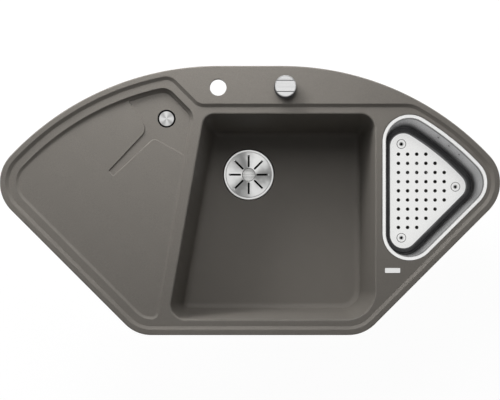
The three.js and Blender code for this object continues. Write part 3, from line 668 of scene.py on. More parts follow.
class Graph:
    """A material under construction: its nodes, its shader and short calls to wire them."""

    def __init__(self, name: str) -> None:
        """Starts the material with one shader.

        Args:
            name: The material's name.
        """
        self.material = bpy.data.materials.new(name)
        self.material.use_nodes = True
        self.tree = self.material.node_tree
        self.shader = self.tree.nodes["Principled BSDF"]
        self.spot = self.node("ShaderNodeTexCoord").outputs["Object"]

    def node(self, kind: str, **settings: object) -> bpy.types.Node:
        """A new node with its properties set.

        Args:
            kind: The node's type.
            **settings: Properties of the node.

        Returns:
            The node.
        """
        made = self.tree.nodes.new(kind)
        for key, value in settings.items():
            setattr(made, key, value)
        return made

    def link(self, source: Socket, node: bpy.types.Node, key: Union[str, int]) -> None:
        """Joins an output to a node's input."""
        self.tree.links.new(source, node.inputs[key])

    def stretched(self, scale: Sequence[float], shift: Sequence[float] = (0, 0, 0)) -> Socket:
        """The object's coordinates, stretched and shifted.

        Args:
            scale: The factor on each axis.
            shift: The shift on each axis, in metres.

        Returns:
            The coordinates' socket.
        """
        node = self.node("ShaderNodeMapping", vector_type="POINT")
        self.link(self.spot, node, "Vector")
        node.inputs["Scale"].default_value = scale
        node.inputs["Location"].default_value = shift
        return node.outputs["Vector"]

    def noise(self, scale: float, detail: float = 2.0, at: Socket | None = None) -> Socket:
        """A noise over the surface, as a value from 0 to 1.

        Args:
            scale: How fine it is.
            detail: How many finer layers it has.
            at: The coordinates, or nothing for the object's own.

        Returns:
            The value's socket.
        """
        node = self.node("ShaderNodeTexNoise")
        self.link(at or self.spot, node, "Vector")
        node.inputs["Scale"].default_value = scale
        node.inputs["Detail"].default_value = detail
        return node.outputs["Fac"]

    def spread(self, value: Socket, low: float, high: float,
               start: float = 0.0, end: float = 1.0) -> Socket:
        """A value from start to end led over to low to high.

        Args:
            value: The value.
            low: The result at start.
            high: The result at end.
            start: The value that gives low.
            end: The value that gives high.

        Returns:
            The result's socket.
        """
        node = self.node("ShaderNodeMapRange")
        self.link(value, node, "Value")
        for key, number in (("From Min", start), ("From Max", end), ("To Min", low),
                            ("To Max", high)):
            node.inputs[key].default_value = number
        return node.outputs["Result"]

    def sum(self, one: Socket, two: Socket, how: str = "ADD") -> Socket:
        """Two values put together by a sum, or by another of the Math node's ways.

        Args:
            one: The first value.
            two: The other value.
            how: The Math node's way.

        Returns:
            The result's socket.
        """
        node = self.node("ShaderNodeMath", operation=how)
        self.link(one, node, 0)
        self.link(two, node, 1)
        return node.outputs[0]

    def ramp(self, value: Socket, stops: Sequence[tuple[float, Colour]]) -> Socket:
        """Colours along a value.

        Args:
            value: The value, from 0 to 1.
            stops: Pairs of a place and a colour, in rising order.

        Returns:
            The colour's socket.
        """
        node = self.node("ShaderNodeValToRGB")
        marks = node.color_ramp.elements
        while len(marks) < len(stops):
            marks.new(0.5)
        for mark, (place, colour) in zip(marks, stops):
            mark.position, mark.color = place, (*colour, 1.0)
        self.link(value, node, "Fac")
        return node.outputs["Color"]

    def bump(self, height: Socket, strength: float, depth: float) -> None:
        """Roughens the shader's surface by a height.

        Args:
            height: The height.
            strength: How much of it shows.
            depth: How deep it is, in metres.
        """
        node = self.node("ShaderNodeBump")
        self.link(height, node, "Height")
        node.inputs["Strength"].default_value = strength
        node.inputs["Distance"].default_value = depth
        self.link(node.outputs["Normal"], self.shader, "Normal")

    def put(self, key: str, value: Union[float, Socket]) -> None:
        """Sets one of the shader's inputs to a number, or joins an output to it.

        Args:
            key: The input's name.
            value: The number or the output.
        """
        if isinstance(value, Socket):
            self.link(value, self.shader, key)
        else:
            self.shader.inputs[key].default_value = value


def tinted(colour: Colour, factor: float) -> Colour:
    """A colour made lighter or darker."""
    return tuple(min(1.0, c * factor) for c in colour)


@dataclass(frozen=True)
class Composite:
    """Moulded stone composite: matte, with a fine grain of lighter and darker grit."""

    colour: Colour = (0.182, 0.169, 0.152)
    grit: float = 900.0
    contrast: float = 0.16

    def build(self) -> bpy.types.Material:
        """Makes the material.

        Returns:
            The material.
        """
        g = Graph("composite")
        grain = g.noise(self.grit, 2.0)
        cloud = g.noise(26.0, 3.0)
        mixed = g.sum(g.spread(grain, 0.0, 0.78, 0.25, 0.75), g.spread(cloud, 0.0, 0.22))
        low, high = 1 - self.contrast, 1 + self.contrast
        g.put("Base Color", g.ramp(mixed, [(0.12, tinted(self.colour, low)),
                                           (0.5, self.colour),
                                           (0.9, tinted(self.colour, high))]))
        g.put("Roughness", g.spread(grain, 0.46, 0.62))
        g.put("Specular IOR Level", 0.28)
        g.bump(g.noise(1400.0, 3.0), 0.22, 0.00025)
        return g.material


@dataclass(frozen=True)
class Steel:
    """Stainless steel with streaks left by the brush, along the axis of the smallest factor."""

    name: str
    colour: Colour = (0.80, 0.80, 0.79)
    rough: float = 0.26
    streaks: tuple[float, float, float] = (12.0, 420.0, 420.0)
    depth: float = 0.12
    speckle: float = 0.03

    def build(self) -> bpy.types.Material:
        """Makes the material.

        Returns:
            The material.
        """
        g = Graph(self.name)
        hairs = g.noise(1.0, 4.0, g.stretched(self.streaks))
        grain = g.noise(1300.0, 2.0)
        mixed = g.sum(g.spread(hairs, 0.0, 1.0 - self.speckle * 8, 0.3, 0.7),
                      g.spread(grain, 0.0, self.speckle * 8, 0.3, 0.7))
        g.put("Metallic", 1.0)
        g.put("Base Color", g.ramp(mixed, [(0.1, tinted(self.colour, 1 - self.depth)),
                                           (0.9, tinted(self.colour, 1 + self.depth / 3))]))
        g.put("Roughness", g.spread(mixed, self.rough - 0.05, self.rough + 0.05))
        g.bump(grain, 0.06, 0.00003)
        return g.material


@dataclass(frozen=True)
class DrawnSteelPaintedShade:
    """Sheet drawn into a bowl: clouded, with painted shade and painted dark reflection in the round
    of its foot, and a line of painted shade under its rim.
    """

    name: str
    low: float
    high: float
    rough: float = 0.24
    # painted shade by height: darkest in the foot's round (painted shade and painted dark
    # reflection), and a dark painted line under the rim
    painted_shades: Profile = ((0.0, 0.14), (0.001, 0.09), (0.012, 0.08), (0.04, 0.09), (0.07, 0.18),
                       (0.1, 0.45), (0.134, 0.7), (0.2, 0.76), (0.3, 0.7), (0.42, 0.62),
                       (0.9, 0.62), (0.93, 0.12), (1.0, 0.12))

    def build(self) -> bpy.types.Material:
        """Makes the material.

        Returns:
            The material.
        """
        g = Graph(self.name)
        split = g.node("ShaderNodeSeparateXYZ")
        g.link(g.spot, split, 0)
        rise = g.spread(split.outputs["Z"], 0.0, 1.0, self.low * MM, self.high * MM)
        wave = g.spread(g.noise(14.0, 2.0), -0.012, 0.012)
        g.put("Metallic", 1.0)
        g.put("Base Color", g.ramp(g.sum(rise, wave), [
            (place, (shade, shade, shade * 1.02)) for place, shade in self.painted_shades]))
        g.put("Roughness", g.spread(g.noise(900.0, 2.0), self.rough, self.rough + 0.08))
        g.bump(g.noise(60.0, 2.0), 0.05, 0.0003)
        return g.material


@dataclass(frozen=True)
class SpunSteelPaintedRays:
    """Stainless steel brushed in circles about a centre, with painted highlight and painted shade
    in rays round it.
    """

    name: str
    centre: Spot
    # rays, turn and dark: how many painted rays, where they stand, and how dark the painted shade
    # between them is
    rays: int = 3
    turn: float = 180.0
    dark: float = 0.36
    rough: float = 0.3
    colour: Colour = (0.82, 0.82, 0.81)
    grain: float = 0.7

    def build(self) -> bpy.types.Material:
        """Makes the material.

        Returns:
            The material.
        """
        g = Graph(self.name)
        flat = g.node("ShaderNodeVectorMath", operation="MULTIPLY")
        g.link(g.stretched((1, 1, 1), (-self.centre[0] * MM, -self.centre[1] * MM, 0)), flat, 0)
        flat.inputs[1].default_value = (1, 1, 0)
        reach = g.node("ShaderNodeVectorMath", operation="LENGTH")
        g.link(flat.outputs[0], reach, 0)
        rings = g.node("ShaderNodeTexNoise", noise_dimensions="1D")
        g.link(reach.outputs["Value"], rings, "W")
        rings.inputs["Scale"].default_value = 1800.0
        rings.inputs["Detail"].default_value = 3.0
        ring = rings.outputs["Fac"]
        split = g.node("ShaderNodeSeparateXYZ")
        g.link(flat.outputs[0], split, 0)
        angle = g.sum(split.outputs["Y"], split.outputs["X"], "ARCTAN2")
        wobble = g.spread(g.noise(35.0, 2.0), -0.5, 0.5)
        wave = g.node("ShaderNodeMath", operation="MULTIPLY_ADD")
        g.link(g.sum(angle, wobble), wave, 0)
        wave.inputs[1].default_value = self.rays
        wave.inputs[2].default_value = math.radians(self.turn)
        swing = g.node("ShaderNodeMath", operation="COSINE")
        g.link(wave.outputs[0], swing, 0)
        light = g.sum(g.spread(swing.outputs[0], 0.0, 0.86, -1.0, 1.0), g.spread(ring, 0.0, 0.14))
        g.link(g.node("ShaderNodeTangent", direction_type="RADIAL", axis="Z").outputs[0],
               g.shader, "Tangent")
        g.put("Metallic", 1.0)
        g.put("Anisotropic", self.grain)
        # painted highlight and painted shade: the colour swings from bright to dark in rays round
        # the centre
        g.put("Base Color", g.ramp(light, [(0.08, tinted(self.colour, self.dark)),
                                           (0.45, tinted(self.colour, (1 + self.dark) / 2)),
                                           (0.9, self.colour)]))
        g.put("Roughness", g.spread(ring, self.rough - 0.04, self.rough + 0.06))
        g.bump(ring, 0.08, 0.00004)
        return g.material


@dataclass(frozen=True)
class Plated:
    """Plated or coated metal, with a faint unevenness of its own."""

    name: str
    colour: Colour
    rough: float
    mottle: float = 0.06

    def build(self) -> bpy.types.Material:
        """Makes the material.

        Returns:
            The material.
        """
        g = Graph(self.name)
        cloud = g.noise(160.0, 4.0)
        g.put("Metallic", 1.0)
        g.put("Base Color", g.ramp(cloud, [(0.3, tinted(self.colour, 1 - self.mottle)),
                                           (0.7, tinted(self.colour, 1 + self.mottle))]))
        g.put("Roughness", g.spread(cloud, self.rough * 0.8, self.rough * 1.25))
        g.bump(g.noise(900.0), 0.05, 0.00003)
        return g.material


@dataclass(frozen=True)
class Moulded:
    """Moulded plastic or rubber, with a fine eroded grain."""

    name: str
    colour: Colour
    rough: float = 0.45
    grain: float = 0.2
    shine: float = 0.5

    def build(self) -> bpy.types.Material:
        """Makes the material.

        Returns:
            The material.
        """
        g = Graph(self.name)
        cloud = g.noise(90.0, 4.0)
        pits = g.noise(1500.0, 2.0)
        g.put("Base Color", g.ramp(cloud, [(0.3, tinted(self.colour, 0.92)),
                                           (0.7, tinted(self.colour, 1.06))]))
        g.put("Roughness", g.spread(pits, self.rough - 0.07, self.rough + 0.09))
        g.put("Specular IOR Level", self.shine)
        g.bump(pits, self.grain, 0.00006)
        return g.material


class Finishes:
    """The object's materials, each made once when it is first asked for."""

    def __init__(self) -> None:
        """Starts with none made."""
        self.made: dict[object, bpy.types.Material] = {}

    def of(self, finish: object) -> bpy.types.Material:
        """The material of a finish.

        Args:
            finish: One of the finishes above.

        Returns:
            Its material.
        """
        if finish not in self.made:
            self.made[finish] = finish.build()
        return self.made[finish]


COMPOSITE = Composite()
SHEET = Steel("steel_sheet", rough=0.28, depth=0.04, speckle=0.01)
PLATE = Steel("steel_plate", (0.92, 0.92, 0.91), 0.3, (300.0, 300.0, 300.0), 0.1, 0.1)
RIM = Steel("steel_rim", (0.9, 0.9, 0.89), 0.28, (60.0, 60.0, 60.0), 0.05)
CHROME = Plated("chrome", (0.84, 0.84, 0.84), 0.1, 0.01)
DARK_METAL = Plated("dark_metal", (0.075, 0.075, 0.078), 0.3)
ZINC = Plated("zinc", (0.47, 0.48, 0.50), 0.38, 0.12)
BLACK = Moulded("black_plastic", (0.012, 0.012, 0.013))
GREY = Moulded("grey_plastic", (0.36, 0.37, 0.37))
WHITE = Moulded("white_plastic", (0.76, 0.76, 0.74), 0.35)
# grey plastic painted near black for the strainer's cup, so that the slots read dark: painted shade
SHADED_GREY = Moulded("grey_plastic_painted_shade", (0.008, 0.008, 0.009), 0.7, 0.2, 0.15)
MATT_BLACK = Moulded("matt_black_plastic", (0.006, 0.006, 0.006), 0.7, 0.2, 0.1)
# near-black steel on the walls of holes and slots and on the colander's marks: painted shade
PAINTED_SHADE_STEEL = Steel("steel_painted_shade", (0.03, 0.03, 0.03), 0.5)
RUBBER = Moulded("rubber", (0.02, 0.02, 0.02), 0.75, 0.35)

FINISHES = Finishes()
SLOT_FINISH = {
    Slot.COMPOSITE: COMPOSITE, Slot.STEEL: SHEET, Slot.CHROME: CHROME,
    Slot.DARK_METAL: DARK_METAL, Slot.ZINC: ZINC, Slot.BLACK: BLACK, Slot.GREY: GREY,
    Slot.WHITE: WHITE, Slot.RUBBER: RUBBER,
}


# ---- pieces


@dataclass(frozen=True)
class Ticket:
    """What a finished piece is called, stands for and moves with."""

    name: str
    body: str
    slot: Slot
    nodes: tuple[str, ...] = ()
    finish: object = None
    crease: float = 32.0

    def piece(self, solid: Solid) -> bpy.types.Object:
        """Turns a solid into a piece of the scene, in metres, shaded, dressed and riding.

        Args:
            solid: The solid, in millimetres.

        Returns:
            The piece.
        """
        mesh = solid.cleaned().mesh
        mesh.name = self.name
        mesh.transform(Matrix.Scale(MM, 4))
        mesh.materials.clear()
        mesh.materials.append(FINISHES.of(self.finish or SLOT_FINISH[self.slot]))
        mesh.shade_smooth()
        mesh.set_sharp_from_angle(angle=math.radians(self.crease))
        obj = bpy.data.objects.new(self.name, mesh)
        bpy.context.scene.collection.objects.link(obj)
        weigh = obj.modifiers.new("weigh", "WEIGHTED_NORMAL")
        weigh.keep_sharp, weigh.weight = True, 80
        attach(obj, self.body)
        if self.nodes:
            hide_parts(*self.nodes)
        LOG.info("made %s with %d faces", self.name, len(mesh.polygons))
        return obj


# ---- the sizes shared by the parts

GAP = 0.3
DECK_TOP = 2.5
BOWL_FLOOR = -190.0
SMALL_FLOOR = -140.0
HALF_SQRT = math.sqrt(0.5)


@dataclass(frozen=True)
class Place:
    """The place of a round hole in the moulding, with its radius."""

    x: float
    y: float
    hole: float


TAP = Place(-66.8, 237.2, 17.5)
KNOB = Place(74.0, 237.2, 17.5)
OVERFLOW = Place(-176.0, 173.5, 19.0)
WASTE = Place(-2.9, 68.0, 45.5)
SMALL_WASTE = Place(356.0, 68.0, 26.0)


@dataclass(frozen=True)
class Fall:
    """A floor that falls evenly towards one corner."""

    level: float
    slope: float

    def at(self, x: float, y: float) -> float:
        """The floor's height at a point."""
        return self.level - self.slope * (x + y) * HALF_SQRT

    def share(self, part: float, top: float = DECK_TOP) -> Callable[[float, float], float]:
        """The height that lies part of the way from the floor up to top."""
        return lambda x, y: self.at(x, y) + part * (top - self.at(x, y))


@dataclass(frozen=True)
class Plan:
    """The outlines of the moulding, seen from above."""

    depth: float = 565.0
    back_radius: float = 598.0
    back_flat_half: float = 66.9
    side_radius: float = 82.6
    front_radius: float = 78.0
    slant_reach: float = 521.7
    lean: float = 0.1763
    lean_y: float = 39.0
    deck_rim: float = 10.5
    ledge_y: float = 203.9
    ledge_corner: float = 97.7
    drainer_inset: float = 32.0
    drainer_right: float = -141.5
    drainer_corner: float = 67.0
    channel_wall: float = 6.5
    small_inset: float = 26.2
    small_left: float = 278.1

    def front(self, inset: float) -> Straight:
        """The front edge."""
        return Straight(0, -self.depth / 2 + inset, 0, 1)

    def slant(self, side: int, inset: float) -> Straight:
        """The 45 degree edge on the right, side 1, or on the left, side -1.

        Args:
            side: The side.
            inset: How far inside the edge it runs.

        Returns:
            The edge.
        """
        way = inset * HALF_SQRT
        return Straight(side * (380 - way), 380 - self.slant_reach + way, -side * HALF_SQRT,
                        HALF_SQRT)

    def bow(self, side: int, inset: float, steps: int = 40) -> Bow:
        """The long bowed edge of the back on the right, side 1, or on the left, side -1."""
        return Bow(side * self.back_flat_half, self.depth / 2 - self.back_radius,
                   self.back_radius - inset, side * 380, 192, steps)

    def leaning(self, x: float, side: int) -> Straight:
        """The leaning edge between drainer and bowl, that faces right, side 1, or left."""
        size = math.hypot(1, self.lean)
        return Straight(x, self.lean_y, side / size, -side * self.lean / size)

    def outline(self) -> Region:
        """The outline of the whole moulding."""
        half, back = self.back_flat_half, self.depth / 2
        return Region(
            (self.front(0), self.slant(1, 0), self.bow(1, 0), Straight(0, back, 0, -1),
             self.bow(-1, 0), self.slant(-1, 0)),
            (self.front_radius, self.side_radius, (half, back), (-half, back),
             self.side_radius, self.front_radius), 20)

    def deck(self) -> Region:
        """The sunken deck inside the rim and in front of the tap ledge.

        Returns:
            The region.
        """
        rim, ledge, corner = self.deck_rim, self.ledge_y, self.ledge_corner
        turn = self.side_radius - rim
        ends = self.front_radius - rim
        return Region(
            (self.front(rim), self.slant(1, rim), self.bow(1, rim, 24),
             Straight(100, ledge, 0, -1),
             Straight(-150, corner + 150, -HALF_SQRT, -HALF_SQRT), self.bow(-1, rim, 34),
             self.slant(-1, rim)),
            (ends, turn, 60, -25, 32, turn, ends), 16)

    def drainer(self) -> Region:
        """The drainer's sunken floor."""
        inset, corner = self.drainer_inset, self.drainer_corner
        return Region(
            (self.front(inset), self.leaning(self.drainer_right, -1),
             Straight(-120, corner + 120, -HALF_SQRT, -HALF_SQRT), self.bow(-1, inset, 34),
             self.slant(-1, inset)),
            (17, 32, 34, self.side_radius - inset, self.front_radius - inset), 14)

    def channel(self) -> Region:
        """The channel that leads from the drainer's pads to its overflow."""
        wall, corner = self.channel_wall, self.drainer_corner + 120
        return Region(
            (Straight(-165, 109.2, 0.483, 0.875), self.leaning(self.drainer_right - wall, -1),
             Straight(-120, corner - wall / HALF_SQRT, -HALF_SQRT, -HALF_SQRT),
             self.bow(-1, self.drainer_inset + wall, 16), Straight(-239.3, 183.0, 0.841, 0.541),
             Straight(-263.1, 101.3, 0.73, -0.683), Straight(-291.5, 54.3, 0.764, 0.645),
             Straight(-246.0, 89.5, -0.682, 0.731)),
            (4, 27, 27, 4, -19.8, 4, 4, -10.5), 10)

    def bowl(self) -> Region:
        """The main bowl's mouth."""
        return Region(
            (Straight(0, -249.4, 0, 1), Straight(262.6, 0, -1, 0), Straight(0, 181.3, 0, -1),
             self.leaning(-120.8, 1)), (60, 30, 24, 30), 18)

    def small_bowl(self) -> Region:
        """The small bowl's mouth, which is the edge of the colander's rim."""
        inset, left = self.small_inset, Straight(self.small_left, 0, 1, 0)
        return Region((self.slant(1, inset), self.bow(1, inset, 30), left),
                      (self.side_radius - inset, 57, 57), 26)


PLAN = Plan()


# ---- the moulding


@dataclass
class Moulding:
    """The composite moulding: rim, tap ledge, deck, drainer with its channel, and two bowls."""

    rim_top: float = 8.5
    deck_underside: float = -5.5
    rim_seat: float = 24.0
    shell: float = 9.0
    bowl_lip: float = 4.0
    bowl_draft: float = 17.0
    bowl_fillet: float = 15.0
    small_start: float = 5.0
    small_draft: float = 3.0
    small_fillet: float = 14.0
    seat_level: float = 0.8
    pad: Fall = Fall(-6.6, 0.0156)
    spout: Fall = Fall(-10.4, 0.0205)
    clamps: tuple[Spot, ...] = ((-140, 243), (180, 237), (285, 198), (300, -172), (-190, -247),
                                (-330, -142))
    deck_slope: Profile = ((9.8, 2.5), (8.4, 2.5), (7.5, 2.66), (6.9, 3.2), (6.4, 3.8), (5.9, 4.06),
                           (5.3, 4.45), (4.6, 5.1), (2.2, 7.4), (1.6, 7.95), (1.0, 8.3),
                           (0.3, 8.47), (-0.4, 8.5))
    pad_slope: Profile = ((9.0, 0.0), (7.8, 0.0), (7.0, 0.02), (6.4, 0.075), (5.9, 0.125),
                          (5.4, 0.165), (4.8, 0.25), (1.7, 0.86), (1.2, 0.94), (0.7, 0.985),
                          (0.0, 1.0))
    spout_slope: Profile = ((3.4, 0.0), (2.5, 0.02), (1.9, 0.12), (1.4, 0.35), (0.9, 0.75),
                            (0.5, 0.94), (0.0, 1.0))

    def _shell(self, region: Region, start: float, draft: float, fillet: float,
               floor: float) -> Solid:
        """The outside of a bowl, an even wall round its inside.

        Args:
            region: The bowl's mouth.
            start: How far inside the mouth the wall begins.
            draft: How far the wall leans in on its way down.
            fillet: The radius inside, between wall and floor.
            floor: The height of the floor.

        Returns:
            The solid.
        """
        reach = fillet + self.shell
        foot = start + draft - self.shell
        return Solid.lofted(region, [
            *rounding(foot + reach, floor + fillet, reach, 270, 184, 9),
            (start - self.shell, 0)])

    def _cavity(self, region: Region, start: float, draft: float, fillet: float, floor: float,
                lip: float, top: float) -> Solid:
        """The inside of a bowl: floor, wide fillet, drafted wall and rounded lip.

        Args:
            region: The bowl's mouth.
            start: How far inside the mouth the wall begins.
            draft: How far the wall leans in on its way down.
            fillet: The radius between wall and floor.
            floor: The height of the floor.
            lip: The radius of the lip.
            top: The height at which the lip ends.

        Returns:
            The space to cut away.
        """
        return Solid.lofted(region, [
            *rounding(start + draft + fillet, floor + fillet, fillet, 270, 184, 14),
            *rounding(start - lip, top - lip, lip, 0, 86, 8),
            (start - lip, top + 6)])

    def body(self) -> Solid:
        """The moulding before anything is cut from it.

        Returns:
            The rim, the deck, the drainer's belly, the bowls and the bosses.
        """
        outline = PLAN.outline()
        rim = Solid.lofted(outline, [(0.4, 0), (0, 0.5), *rounding(3, self.rim_top - 3, 3, 180,
                                                                   90, 8)])
        deck = Solid.lofted(outline, [(self.rim_seat + 1.5, self.deck_underside),
                                      (self.rim_seat, self.rim_top - 3)])
        under = Fall(self.pad.level - self.shell, self.pad.slope)
        belly = Solid.lofted(PLAN.drainer(), [
            (-1, under.at), (-5.5, lambda x, y: under.at(x, y) + 1.6), (-7, self.pad.share(-0.1)),
            (-7, 0.5)])
        main = self._shell(PLAN.bowl(), 0, self.bowl_draft, self.bowl_fillet, BOWL_FLOOR)
        small = self._shell(PLAN.small_bowl(), self.small_start, self.small_draft,
                            self.small_fillet, SMALL_FLOOR)
        web = Solid.block((257, -70, SMALL_FLOOR + 30), (284, 120, -2))
        foot = BOWL_FLOOR - self.shell
        bosses = [
            Solid.rod(64.5, foot - 5, BOWL_FLOOR - 2, 72).moved(WASTE.x, WASTE.y),
            Solid.rod(OVERFLOW.hole + 12, -22, -12).moved(OVERFLOW.x, OVERFLOW.y),
            *(Solid.rod(8, -25, -1, 32).moved(x, y) for x, y in self.clamps),
        ]
        return rim.add(deck, belly, main, small, web, *bosses)

    def hollows(self) -> list[Solid]:
        """The spaces cut from above: deck, drainer, channel and bowls.

        Returns:
            The spaces to cut away.
        """
        deck = Solid.lofted(PLAN.deck(), [*eased(self.deck_slope, 3),
                                          (-0.45, self.rim_top + 6)])
        drainer = Solid.lofted(PLAN.drainer(), [
            *((inset, self.pad.share(part)) for inset, part in eased(self.pad_slope, 3)),
            (-0.9, DECK_TOP + 0.35), (-1.2, self.rim_top)])

        def rise(part: float) -> Callable[[float, float], float]:
            """The height part of the way from the channel's floor to the pads' floor."""
            return lambda x, y: (self.spout.at(x, y)
                                 + part * (self.pad.at(x, y) - self.spout.at(x, y)))

        channel = Solid.lofted(PLAN.channel(), [
            *((inset, rise(part)) for inset, part in eased(self.spout_slope, 3)),
            (-0.5, rise(1.12)), (-0.6, rise(1.6))])
        main = self._cavity(PLAN.bowl(), 0, self.bowl_draft, self.bowl_fillet, BOWL_FLOOR,
                            self.bowl_lip, DECK_TOP)
        small = self._cavity(PLAN.small_bowl(), self.small_start, self.small_draft,
                             self.small_fillet, SMALL_FLOOR, 1.0, self.seat_level)
        rebate = Solid.lofted(PLAN.small_bowl(), [
            (-0.6, self.seat_level), (-0.6, DECK_TOP - 0.6), (-0.8, DECK_TOP - 0.2),
            (-1.2, DECK_TOP), (-1.2, DECK_TOP + 3)])
        return [deck, drainer, channel, main, small, rebate]

    def holes(self) -> list[Solid]:
        """The round holes and recesses.

        Returns:
            The spaces to cut away.
        """

        def bored(place: Place, low: float, top: float, chamfer: float) -> Solid:
            """A hole through the moulding with a broken edge at the top.

            Args:
                place: Where it is.
                low: The height of its foot.
                top: The height of the surface.
                chamfer: The size of the broken edge.

            Returns:
                The space.
            """
            r = place.hole
            return Solid.turned([(0, low), (r, low), (r, top - chamfer), (r + 0.3 * chamfer,
                                top - 0.3 * chamfer), (r + chamfer, top), (r + chamfer, top + 9),
                                (0, top + 9)], 96).moved(place.x, place.y)

        def recess(place: Place, radius: float, sunk: float, floor: float) -> Solid:
            """A round recess in a bowl's floor, with soft edges.

            Args:
                place: Where it is.
                radius: Its radius.
                sunk: Its depth.
                floor: The height of the bowl's floor.

            Returns:
                The space.
            """
            low = floor - sunk
            return Solid.turned([(0, low), (radius - 1.6, low), (radius - 0.5, low + 0.5),
                                 (radius, low + 1.6), (radius, floor - 1.2),
                                 (radius + 0.3, floor - 0.45), (radius + 1.2, floor + 0.01),
                                 (radius + 1.3, floor + 8), (0, floor + 8)], 96
                                ).moved(place.x, place.y)

        return [
            bored(TAP, -20, self.rim_top, 0.8), bored(KNOB, -20, self.rim_top, 0.5),
            bored(OVERFLOW, -40, self.spout.at(OVERFLOW.x, OVERFLOW.y), 0.6),
            Solid.rod(WASTE.hole, BOWL_FLOOR - 20, BOWL_FLOOR + 8, 96).moved(WASTE.x, WASTE.y),
            recess(WASTE, 57.5, 5, BOWL_FLOOR),
            Solid.rod(SMALL_WASTE.hole, SMALL_FLOOR - 20, SMALL_FLOOR + 8, 72
                      ).moved(SMALL_WASTE.x, SMALL_WASTE.y),
            recess(SMALL_WASTE, 36, 2.5, SMALL_FLOOR),
            *(Solid.rod(3.5, -30, -8, 20).moved(x, y) for x, y in self.clamps),
        ]

    def pocket(self) -> Solid:
        """The hollow under the tap ledge, with a flat seat left round each hole."""
        hollow = Solid.block((-104, 206, self.deck_underside - 4), (118, 266, -1.5))
        seats = [Solid.rod(27, -3, 0, 48).moved(place.x, place.y) for place in (TAP, KNOB)]
        return hollow.cut(*seats)

    def build(self) -> None:
        """Makes the moulding."""
        solid = self.body().cut(*self.hollows(), self.pocket(), *self.holes())
        Ticket("sink_moulding", "sink", Slot.COMPOSITE, ("sink_body",)).piece(solid)


# ---- the colander


